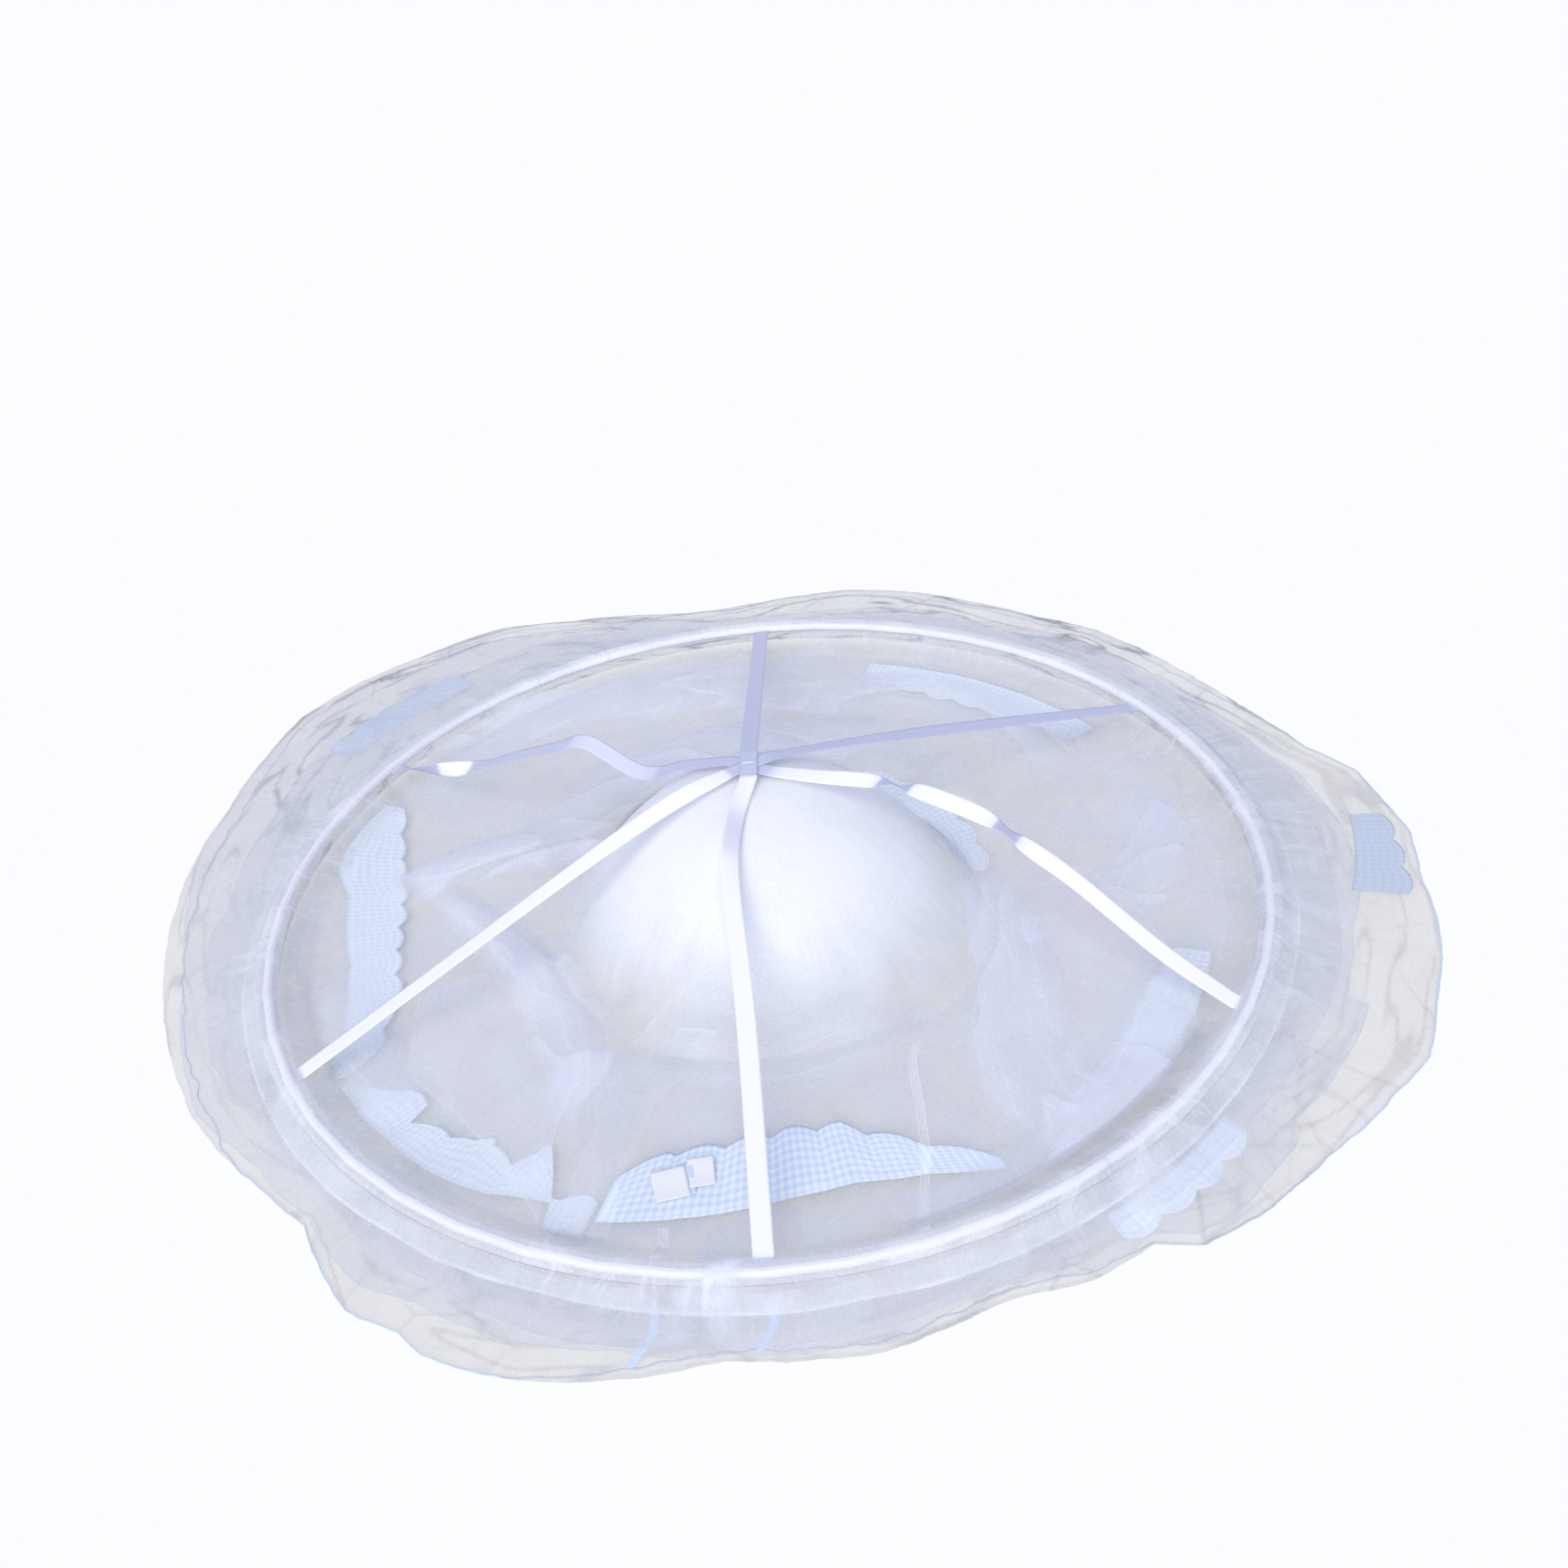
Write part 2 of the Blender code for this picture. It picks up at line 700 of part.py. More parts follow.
def build():
    """Make every piece and hang the moving ones from their joint axes."""
    clear_scene()
    net = material("polyester net", (0.80, 0.83, 0.90), 0.85, alpha=0.6)
    heap_net = material("bunched net", (0.90, 0.94, 1.00), 0.9)
    casing = material("sleeve cloth", (0.86, 0.89, 0.96), 0.8)
    satin = material("satin ribbon", (0.91, 0.93, 1.00), 0.45)
    check = material("gingham cotton", (0.67, 0.79, 0.92), 0.85)
    blue = material("blue binding", (0.45, 0.65, 0.88), 0.75)
    tube = material("coated steel tube", (0.85, 0.86, 0.88), 0.35, metallic=0.4)
    plastic = material("joiner plastic", (0.80, 0.80, 0.82), 0.5)
    label = material("label satin", (0.95, 0.96, 0.97), 0.6)
    thread = material("white thread", (0.97, 0.97, 1.00), 0.7)

    make_heap(heap_net)
    for name, first, last in PANELS:
        make_curtain(name, first, last, net)
        make_binding(name.replace("curtain", "hem_binding"), first, last, blue)
    make_door_tape("door_binding_left", DOOR_BEARING - DOOR_LAP, blue)
    make_door_tape("door_binding_right", DOOR_BEARING + DOOR_LAP, blue)

    hoop = make_tubes(tube) + make_joiners(plastic)
    hoop += [make_sleeve(casing), make_roof_crown(net)]
    for name, first, last in ROOF_PANELS:
        hoop.append(make_roof_panel(name, first, last, net))
    for name, first, last, side, width in FRILLS:
        hoop.append(make_frill(name, first, last, side, width, net))
    for name, first, last, side, sewn_edge, free_edge in GINGHAMS:
        hoop.append(make_gingham(name, first, last, side, sewn_edge, free_edge, check))
    hoop.append(make_heap_gingham(check))
    for name, bearing, length in TAPES:
        hoop.append(make_tape(name, bearing, length, casing))
    for name, back, bearing, turn, width, length in LABELS:
        hoop.append(make_label(name, back, bearing, turn, width, length, label))
    hoop.append(make_ribbon("ribbon_back_left", 0, (2, 5), satin))
    hoop.append(make_ribbon("ribbon_back_right", 1, (0, 3), satin))
    hoop.append(make_ribbon("ribbon_front", 2, (1, 4), satin))
    hang(hoop, axis_empty("hoist_axis", SLEEVE_Z))

    front = FIRST_BEARING + ARM_SPACING
    patch = make_block("hub_patch", PATCH_W, PATCH_W, hub_base(), PATCH_T, front, satin)
    over = ribbon_height(3)
    stitch = make_block("hub_stitch", STITCH_L, STITCH_W, over, STITCH_H, front + 90.0, thread)
    hang([patch, stitch], axis_empty("hub_axis", hub_base()))


build()
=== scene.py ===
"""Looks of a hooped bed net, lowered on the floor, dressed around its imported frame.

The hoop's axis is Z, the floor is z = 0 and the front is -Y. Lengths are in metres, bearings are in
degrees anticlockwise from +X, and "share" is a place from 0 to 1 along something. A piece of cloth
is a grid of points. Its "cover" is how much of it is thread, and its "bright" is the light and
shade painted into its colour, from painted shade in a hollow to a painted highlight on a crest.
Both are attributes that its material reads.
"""

import logging
import math
from dataclasses import dataclass
from enum import Enum

import bmesh
import bpy
import numpy as np
from mathutils import Matrix, Vector


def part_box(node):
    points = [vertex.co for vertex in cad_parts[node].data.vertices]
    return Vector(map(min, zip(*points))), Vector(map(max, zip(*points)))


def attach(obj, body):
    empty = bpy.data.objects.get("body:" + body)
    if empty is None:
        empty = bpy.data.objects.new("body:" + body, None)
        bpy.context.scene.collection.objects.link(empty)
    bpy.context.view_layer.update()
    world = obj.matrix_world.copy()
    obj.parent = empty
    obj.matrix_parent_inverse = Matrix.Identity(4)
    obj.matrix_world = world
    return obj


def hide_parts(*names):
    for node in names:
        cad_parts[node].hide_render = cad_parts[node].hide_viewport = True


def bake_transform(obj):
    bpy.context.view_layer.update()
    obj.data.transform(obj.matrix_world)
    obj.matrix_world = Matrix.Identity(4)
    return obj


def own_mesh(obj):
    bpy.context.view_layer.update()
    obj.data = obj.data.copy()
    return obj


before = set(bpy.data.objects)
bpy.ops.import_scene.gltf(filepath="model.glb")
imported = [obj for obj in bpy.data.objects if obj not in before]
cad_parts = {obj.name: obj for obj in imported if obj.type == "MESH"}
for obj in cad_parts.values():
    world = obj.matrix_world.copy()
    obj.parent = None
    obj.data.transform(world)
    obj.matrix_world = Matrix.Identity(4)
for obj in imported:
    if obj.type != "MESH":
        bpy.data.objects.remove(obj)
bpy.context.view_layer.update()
LOG = logging.getLogger("bed_net")

MM = 0.001
FLOOR_BODY = "floor_net"
HOOP_BODY = "hoop"
HUB_BODY = "hub"
OUTPUT_NODE = "Material Output"

# The hoop's radius, and its sleeve's height off the floor, width and depth
HOOP_R = 0.575
SLEEVE_Z = 0.040
SLEEVE_W = 0.026
SLEEVE_H = 0.018
# Half the slot between the sleeve's two edges, where the roof, frills and ribbons are sewn in
SLOT_H = 0.0039
# That seam's height and radius, the foot of the cloth's rise to it, and where the rise starts
SEAM_Z = 0.0398
SEAM_R = 0.5650
FOOT_R = 0.5593
KNEE_R = 0.5310
# The upper side of the flat roof
ROOF_TOP = 0.0138
# The bearing of the back right ribbon arm, and the step to the next one
FIRST_ARM = 27.1
ARM_SPACING = 60.0
# Where each panel of the roof starts and ends
ROOF_PANELS = {"back": (56.3, 176.3), "front": (176.3, 296.3), "right": (296.3, 416.3)}
# The way to the light that the satin's painted highlight faces
LIT_FROM = (-0.15, -0.75, 0.64)
# How near to each other the points of a pole lie before they are merged
POLE_GAP = 1e-9


class Side(Enum):
    """Which side of the hoop a strip of frill lies on."""

    INWARD = -1
    OUTWARD = 1


def linear(code: str) -> tuple[float, float, float, float]:
    """Turn an sRGB hex colour into linear red, green, blue and alpha.

    Args:
        code: A colour such as "#CDD2E1".

    Returns:
        The four linear values.
    """
    parts = [int(code[start : start + 2], 16) / 255 for start in (1, 3, 5)]
    red, green, blue = (p / 12.92 if p <= 0.04045 else ((p + 0.055) / 1.055) ** 2.4 for p in parts)
    return red, green, blue, 1.0


def fill(tree: bpy.types.NodeTree, node: bpy.types.Node, values: dict) -> None:
    """Fill a node's sockets and settings.

    Args:
        tree: The tree that the node is in.
        node: The node.
        values: What fills each socket, by name or number, or each of the node's own settings. A
            value that is another node's socket is linked.
    """
    for key, value in values.items():
        if isinstance(value, bpy.types.NodeSocket):
            tree.links.new(value, node.inputs[key])
        elif isinstance(key, int) or key in node.inputs:
            node.inputs[key].default_value = value
        else:
            setattr(node, key, value)


def add(tree: bpy.types.NodeTree, kind: str, values: dict | None = None) -> bpy.types.Node:
    """Add a shader node with its settings and links.

    Args:
        tree: The node tree that gets the node.
        kind: Blender's name of the node's type.
        values: What fills its sockets and settings, as in fill.

    Returns:
        The new node.
    """
    made = tree.nodes.new(kind)
    fill(tree, made, values or {})
    return made


def blank(name: str) -> tuple[bpy.types.Material, bpy.types.NodeTree, bpy.types.Node]:
    """Start a material.

    Args:
        name: Its name.

    Returns:
        The material, its tree and its Principled shader.
    """
    made = bpy.data.materials.new(name)
    made.use_nodes = True
    return made, made.node_tree, made.node_tree.nodes["Principled BSDF"]


@dataclass(frozen=True)
class Finish:
    """What every finish has: two tones, and how its face takes the light.

    "high" is the tone where a noise or a pattern is 1, and "low" is the tone where it is 0. On the
    nets and the satin that share is the painted light, so "high" is a painted highlight and "low"
    is painted shade.
    """

    name: str
    high: str
    low: str
    roughness: float = 0.8
    sheen: float = 0.0
    relief: float = 0.2
    relief_mm: float = 0.1

    def streaks(
        self, tree: bpy.types.NodeTree, across_mm: float, along_mm: float, distortion: float = 0.0
    ) -> bpy.types.NodeSocket:
        """Add a noise that is drawn out along the cloth's own map.

        Args:
            tree: The material's tree.
            across_mm: How wide a streak is.
            along_mm: How long it is.
            distortion: How far it wavers.

        Returns:
            The noise's socket.
        """
        cloth = add(tree, "ShaderNodeUVMap", {"uv_map": "cloth"}).outputs["UV"]
        drawn_out = (1.0 / (across_mm * MM), 1.0 / (along_mm * MM), 1.0)
        place = add(tree, "ShaderNodeMapping", {"Scale": drawn_out, "Vector": cloth}).outputs[0]
        values = {"Scale": 1.0, "Detail": 3.0, "Distortion": distortion, "Vector": place}
        return add(tree, "ShaderNodeTexNoise", values).outputs["Fac"]

    def dress(
        self,
        tree: bpy.types.NodeTree,
        shader: bpy.types.Node,
        share: bpy.types.NodeSocket,
        height: bpy.types.NodeSocket,
    ) -> bpy.types.NodeSocket:
        """Give the shader its tint, relief, roughness and sheen.

        Args:
            tree: The material's tree.
            shader: Its Principled shader.
            share: Where the tint is the high tone.
            height: What the relief follows.

        Returns:
            The tint's socket.
        """
        tones = {6: linear(self.low), 7: linear(self.high)}
        tint = add(tree, "ShaderNodeMix", {"data_type": "RGBA", 0: share, **tones}).outputs[2]
        raised = {"Strength": self.relief, "Distance": self.relief_mm * MM, "Height": height}
        normal = add(tree, "ShaderNodeBump", raised).outputs["Normal"]
        fill(tree, shader, {"Roughness": self.roughness, "Sheen Weight": self.sheen})
        fill(tree, shader, {"Base Color": tint, "Normal": normal})
        return tint


@dataclass(frozen=True)
class NetFinish(Finish):
    """Polyester tulle, warp-knitted from fine white filament.

    The eye sees a haze that thickens where plies overlap or crease, with painted shade that makes
    it cool grey in the hollows and a painted highlight that makes it white on the crests, and fine
    gathers along the cloth. The filaments pass some light on, so the far side glows and the shadow
    is fainter than the cloth.
    are drawn three times as coarse so that they can show.
    """

    sheen: float = 0.15
    relief: float = 0.15
    relief_mm: float = 0.5
    gathers: float = 0.35
    gather_mm: float = 4.0
    gather_long_mm: float = 90.0
    waver: float = 0.7
    grain: float = 0.12
    hole_mm: float = 3.6
    mottle: float = 0.10
    mottle_mm: float = 60.0
    passes: float = 0.35
    shadow: float = 0.28

    def make(self) -> bpy.types.Material:
        """Make the material, with its opacity read from the cloth's own cover.

        Three noises swing the cover by their own amounts either side of 1: gathers, holes and a
        broad mottle. The gathers swing the painted highlight and shade too. A shadow ray meets less
        of the cover.

        Returns:
            The material.
        """
        made, tree, shader = blank(self.name)
        cover = add(tree, "ShaderNodeAttribute", {"attribute_name": "cover"}).outputs["Fac"]
        painted_light = add(tree, "ShaderNodeAttribute", {"attribute_name": "painted_light"}).outputs["Fac"]
        place = add(tree, "ShaderNodeTexCoord").outputs["Object"]
        folds = self.streaks(tree, self.gather_mm, self.gather_long_mm, self.waver)
        noises = [(folds, self.gathers)]
        fine = (self.hole_mm, 2.0, self.grain)
        broad = (self.mottle_mm, 4.0, self.mottle)
        for size_mm, detail, amount in (fine, broad):
            values = {"Scale": 1.0 / (size_mm * MM), "Detail": detail, "Vector": place}
            noises.append((add(tree, "ShaderNodeTexNoise", values).outputs["Fac"], amount))
        clamped = {"operation": "MULTIPLY", "use_clamp": True}
        swings = []
        for height, amount in noises:
            ends = {"From Min": 0.3, "From Max": 0.7, "To Min": 1 - amount, "To Max": 1 + amount}
            swing = add(tree, "ShaderNodeMapRange", {"Value": height, **ends}).outputs["Result"]
            cover = add(tree, "ShaderNodeMath", {**clamped, 0: cover, 1: swing}).outputs[0]
            swings.append(swing)
        # Painted light: the cloth's painted highlight and shade, swung by the gathers
        lit = add(tree, "ShaderNodeMath", {**clamped, 0: painted_light, 1: swings[0]}).outputs[0]
        tint = self.dress(tree, shader, lit, folds)
        glow = add(tree, "ShaderNodeBsdfTranslucent", {"Color": tint}).outputs[0]
        lit_through = {0: self.passes, 1: shader.outputs[0], 2: glow}
        thread = add(tree, "ShaderNodeMixShader", lit_through).outputs[0]
        rays = add(tree, "ShaderNodeLightPath").outputs["Is Shadow Ray"]
        ends = {"To Min": 1.0, "To Max": self.shadow}
        thin = add(tree, "ShaderNodeMapRange", {"Value": rays, **ends}).outputs["Result"]
        met = {"operation": "MULTIPLY", 0: cover, 1: thin}
        seen = add(tree, "ShaderNodeMath", met).outputs[0]
        gaps = add(tree, "ShaderNodeBsdfTransparent").outputs[0]
        net = add(tree, "ShaderNodeMixShader", {0: seen, 1: gaps, 2: thread}).outputs[0]
        fill(tree, tree.nodes[OUTPUT_NODE], {"Surface": net})
        return made


@dataclass(frozen=True)
class GinghamFinish(Finish):
    """Yarn-dyed cotton and polyester gingham: its high tone is pale blue and its low one white.

    White and blue bands of warp cross the same bands of weft, so the eye sees white, mid blue and
    full blue squares 4.35 mm wide.
    """

    name: str = "gingham, yarn-dyed plain weave"
    high: str = "#D1E2F6"
    low: str = "#F1F6FD"
    roughness: float = 0.85
    relief: float = 0.25
    relief_mm: float = 0.2
    band_mm: float = 4.35
    edge: float = 5.0
    yarn_mm: float = 1.1

    def make(self) -> bpy.types.Material:
        """Make the material, with its checks on the cloth's own map.

        A steep sine along each axis of the map gives bands, and half their sum is the blue.

        Returns:
            The material.
        """
        made, tree, shader = blank(self.name)
        cloth = add(tree, "ShaderNodeUVMap", {"uv_map": "cloth"}).outputs["UV"]
        axes = add(tree, "ShaderNodeSeparateXYZ", {0: cloth}).outputs
        half_turn = math.pi / (self.band_mm * MM)
        bands = []
        for axis in ("X", "Y"):
            scaled = {"operation": "MULTIPLY", 0: axes[axis], 1: half_turn}
            phase = add(tree, "ShaderNodeMath", scaled).outputs[0]
            wave = add(tree, "ShaderNodeMath", {"operation": "SINE", 0: phase}).outputs[0]
            steep = {"operation": "MULTIPLY_ADD", "use_clamp": True, 0: wave, 1: self.edge, 2: 0.5}
            bands.append(add(tree, "ShaderNodeMath", steep).outputs[0])
        both = {"operation": "ADD", 0: bands[0], 1: bands[1]}
        total = add(tree, "ShaderNodeMath", both).outputs[0]
        share = add(tree, "ShaderNodeMath", {"operation": "MULTIPLY", 0: total, 1: 0.5}).outputs[0]
        woven = {"Scale": 1.0 / (self.yarn_mm * MM), "Detail": 2.0, "Vector": cloth}
        yarn = add(tree, "ShaderNodeTexNoise", woven).outputs["Fac"]
        self.dress(tree, shader, share, yarn)
        return made


@dataclass(frozen=True)
class WovenFinish(Finish):
    """Narrow woven goods, such as satin ribbon, bias binding, label tape or thread.

    Long floats along the length give satin its soft streaked gloss. A satin that paints light is
    white with a painted highlight where its face is turned to the light, and lavender with painted
    shade elsewhere. A plain weave is duller, and only its yarns vary.
    """

    sheen: float = 0.1
    float_mm: float = 9.0
    yarn_mm: float = 0.5
    paints_light: bool = False

    def make(self) -> bpy.types.Material:
        """Make the material, with floats that run along the cloth's own map.

        Returns:
            The material.
        """
        made, tree, shader = blank(self.name)
        floats = self.streaks(tree, self.yarn_mm, self.float_mm)
        lit = floats
        # A satin's tint follows the painted light: painted highlight facing the light, painted
        # shade elsewhere
        if self.paints_light:
            lit = add(tree, "ShaderNodeAttribute", {"attribute_name": "painted_light"}).outputs["Fac"]
        self.dress(tree, shader, lit, floats)
        return made


@dataclass(frozen=True)
class HardFinish(Finish):
    """Powder-coated steel tube or moulded plastic, with an even colour and a faint orange peel."""

    relief: float = 0.1
    grain_mm: float = 1.5

    def make(self) -> bpy.types.Material:
        """Make the material, with its grain on object coordinates.

        Returns:
            The material.
        """
        made, tree, shader = blank(self.name)
        place = add(tree, "ShaderNodeTexCoord").outputs["Object"]
        fine = {"Scale": 1.0 / (self.grain_mm * MM), "Detail": 3.0, "Vector": place}
        grain = add(tree, "ShaderNodeTexNoise", fine).outputs["Fac"]
        self.dress(tree, shader, grain, grain)
        return made


@dataclass(frozen=True)
class Noise:
    """Smooth random heights from 0 to 1, in octaves that are each twice as fine as the last."""

    seed: int
    octaves: int = 3
    cells: int = 64
    fade: float = 0.5

    def at(self, across: np.ndarray, along: np.ndarray) -> np.ndarray:
        """Work out the height at places counted in cells.

        A table of random numbers is read at the four whole places round each point and eased
        between them. The table meets itself after its last cell.

        Args:
            across: The places one way.
            along: The places the other way.

        Returns:
            The height at each place.
        """
        draw = np.random.default_rng(self.seed)
        across, along = np.broadcast_arrays(across, along)
        total = np.zeros(across.shape)
        for octave in range(self.octaves):
            table = draw.random((self.cells, self.cells))
            x, y = across * 2**octave, along * 2**octave
            left, low = np.floor(x).astype(int), np.floor(y).astype(int)
            ease_x, ease_y = smooth_step(x - left), smooth_step(y - low)
            left, low = left % self.cells, low % self.cells
            right, high = (left + 1) % self.cells, (low + 1) % self.cells
            bottom = table[left, low] * (1 - ease_x) + table[right, low] * ease_x
            top = table[left, high] * (1 - ease_x) + table[right, high] * ease_x
            total += self.fade**octave * (bottom * (1 - ease_y) + top * ease_y)
        return total / sum(self.fade**octave for octave in range(self.octaves))

    def round_hoop(self, bearing: np.ndarray, along: np.ndarray) -> np.ndarray:
        """Return the height where the table goes once round the hoop, so that it meets itself."""
        return self.at(bearing * self.cells / 360, along)


@dataclass(frozen=True)
class Crush:
    """Crushed cloth: flat facets of many sizes between sharp creases."""

    seed: int
    spacing: float
    width: float
    cells: int = 64
    bend: float = 1.2

    def at(self, x: np.ndarray, y: np.ndarray) -> np.ndarray:
        """Work out where the creases run.

        A crease is where the two nearest of many scattered points are equally near. A slow noise
        bends the places first, and another fades some creases out.

        Args:
            x: The places along X.
            y: The places along Y.

        Returns:
            1 on a crease and 0 inside a facet.
        """
        draw = np.random.default_rng(self.seed)
        scatter = draw.random((self.cells, self.cells, 2))
        bend = Noise(self.seed + 1, 2)
        slow = 2.2 * self.spacing
        u = x / self.spacing + self.bend * bend.at(x / slow, y / slow)
        v = y / self.spacing + self.bend * bend.at(y / slow + 20, x / slow + 7)
        cell_x, cell_y = np.floor(u).astype(int), np.floor(v).astype(int)
        nearest = np.full(u.shape, 9.0)
        second = np.full(u.shape, 9.0)
        for right in (-1, 0, 1):
            for up in (-1, 0, 1):
                spot = scatter[(cell_x + right) % self.cells, (cell_y + up) % self.cells]
                gap = np.hypot(cell_x + right + spot[..., 0] - u, cell_y + up + spot[..., 1] - v)
                second = np.minimum(second, np.maximum(nearest, gap))
                nearest = np.minimum(nearest, gap)
        crease = np.clip(1 - (second - nearest) * self.spacing / self.width, 0, 1)
        fade = smooth_step((Noise(self.seed + 2, 2).at(x / slow + 9, y / slow) - 0.45) / 0.30)
        return crease * fade


@dataclass(frozen=True)
class Plies:
    """Loose plies that overlap, each with a crisp folded edge and a far side that fades."""

    seed: int
    size: float
    steps: float = 5.0
    bend: float = 1.4

    def at(self, x: np.ndarray, y: np.ndarray) -> np.ndarray:
        """Work out how near each place is to a folded edge.

        A slow noise, its places bent by another, is multiplied up. What is left after the whole
        number is kept, so it climbs evenly and then drops.

        Args:
            x: The places along X.
            y: The places along Y.

        Returns:
            1 at a folded edge, falling to 0 at the ply's far side.
        """
        bend = Noise(self.seed + 1, 3)
        u, v = x / self.size, y / self.size
        swung = self.bend * (bend.at(u * 0.9 + 3, v * 0.9) - 0.5)
        swayed = self.bend * (bend.at(v * 0.9 + 20, u * 0.9 + 7) - 0.5)
        level = self.steps * Noise(self.seed, 2, fade=0.3).at(u + swung, v + swayed)
        part = level - np.floor(level)
        return part * smooth_step((1 - part) / 0.05)


def angular(bearing: np.ndarray, seed: int, corners: int, size: float) -> np.ndarray:
    """Draw a random outline of straight runs between corners.

    Args:
        bearing: Where, in degrees.
        seed: Which corners.
        corners: How many there are round the hoop.
        size: How far they go either side of 0.

    Returns:
        The outline's height at each bearing.
    """
    draw = np.random.default_rng(seed)
    places = np.sort(draw.uniform(0, 360, corners))
    values = draw.uniform(-size, size, corners)
    return np.interp(np.asarray(bearing) % 360, places, values, period=360)


def around(values: tuple[float, ...], bearing: np.ndarray) -> np.ndarray:
    """Return values given at even steps round the hoop, joined by straight lines."""
    steps = np.linspace(0, 360, len(values) + 1)
    return np.interp(np.asarray(bearing) % 360, steps, [*values, values[0]])


def row(first: float, last: float, count: int) -> np.ndarray:
    """Return even steps along a grid's rows."""
    return np.linspace(first, last, count)[None, :]


def full_turn(count: int) -> np.ndarray:
    """Return even bearings once round the hoop, along a grid's rows."""
    return np.linspace(0, 360, count, endpoint=False)[None, :]


def column(first: float, last: float, count: int) -> np.ndarray:
    """Return even steps down a grid's columns."""
    return np.linspace(first, last, count)[:, None]


def flat_at(radius: np.ndarray, bearing: np.ndarray) -> tuple[np.ndarray, np.ndarray]:
    """Return x and y at a radius and bearing."""
    turn = np.radians(bearing)
    return radius * np.cos(turn), radius * np.sin(turn)


def polar(radius: np.ndarray, bearing: np.ndarray, height: np.ndarray) -> np.ndarray:
    """Work out points at a radius, bearing and height.

    Args:
        radius: How far each is from the hoop's axis.
        bearing: Its bearing in degrees.
        height: Its height.

    Returns:
        The points, with the last axis x, y and z.
    """
    shape = np.broadcast_shapes(np.shape(radius), np.shape(bearing), np.shape(height))
    parts = (*flat_at(radius, bearing), height)
    return np.stack([np.broadcast_to(part, shape) for part in parts], axis=-1)


def smooth_step(share: np.ndarray) -> np.ndarray:
    """Return a share eased in and out, and held from 0 to 1."""
    held = np.clip(share, 0, 1)
    return held * held * (3 - 2 * held)


def along_line(line: np.ndarray, share: np.ndarray) -> tuple[np.ndarray, ...]:
    """Find places along a line, at shares of its length.

    Args:
        line: The line's points, one a row.
        share: The shares.

    Returns:
        Each coordinate of the places.
    """
    steps = np.linalg.norm(np.diff(line, axis=0), axis=1)
    place = np.concatenate([[0], np.cumsum(steps)]) / steps.sum()
    return tuple(np.interp(share, place, line[:, axis]) for axis in range(line.shape[1]))


def curve_through(points: np.ndarray, count: int) -> np.ndarray:
    """Draw a smooth curve through points, each cubic run shaped by its four nearest points.

    Args:
        points: The points, one a row.
        count: How many points the curve gets.

    Returns:
        The curve's points.
    """
    padded = np.vstack([2 * points[0] - points[1], points, 2 * points[-1] - points[-2]])
    place = np.linspace(0, len(points) - 1 - 1e-9, count)
    index = place.astype(int)
    share = (place - index)[:, None]
    a, b, c, d = (padded[index + step] for step in range(4))
    bend = 2 * a - 5 * b + 4 * c - d
    twist = 3 * (b - c) + d - a
    return b + 0.5 * share * (c - a + share * (bend + share * twist))


def cloth_lengths(points: np.ndarray) -> tuple[float, float]:
    """Measure a grid.

    Args:
        points: The grid, rows by columns by x, y and z.

    Returns:
        The mean length of its rows, and that of its columns.
    """
    run = np.linalg.norm(np.diff(points, axis=1), axis=2).sum(axis=1).mean()
    rise = np.linalg.norm(np.diff(points, axis=0), axis=2).sum(axis=0).mean()
    return float(run), float(rise)


def faces_down(points: np.ndarray) -> bool:
    """Tell which way a grid looks, from the cross of its faces' diagonals.

    Args:
        points: The grid, rows by columns by x, y and z.

    Returns:
        Whether most of its area looks down.
    """
    first = points[1:, 1:] - points[:-1, :-1]
    second = points[1:, :-1] - points[:-1, 1:]
    return bool((first[..., 0] * second[..., 1] - first[..., 1] * second[..., 0]).sum() < 0)


def close_poles(mesh: bpy.types.Mesh, points: np.ndarray) -> None:
    """Merge the points of a grid's first or last row where they all lie in one place.

    Args:
        mesh: The grid's mesh.
        points: The grid.
    """
    poles = [number for number in (0, -1) if np.ptp(points[number], axis=0).max() < POLE_GAP]
    if not poles:
        return
    size = points.shape[1]
    shut = bmesh.new()
    shut.from_mesh(mesh)
    corners = list(shut.verts)
    ends = {0: corners[:size], -1: corners[-size:]}
    for number in poles:
        bmesh.ops.remove_doubles(shut, verts=ends[number], dist=1e-6)
    shut.to_mesh(mesh)
    shut.free()


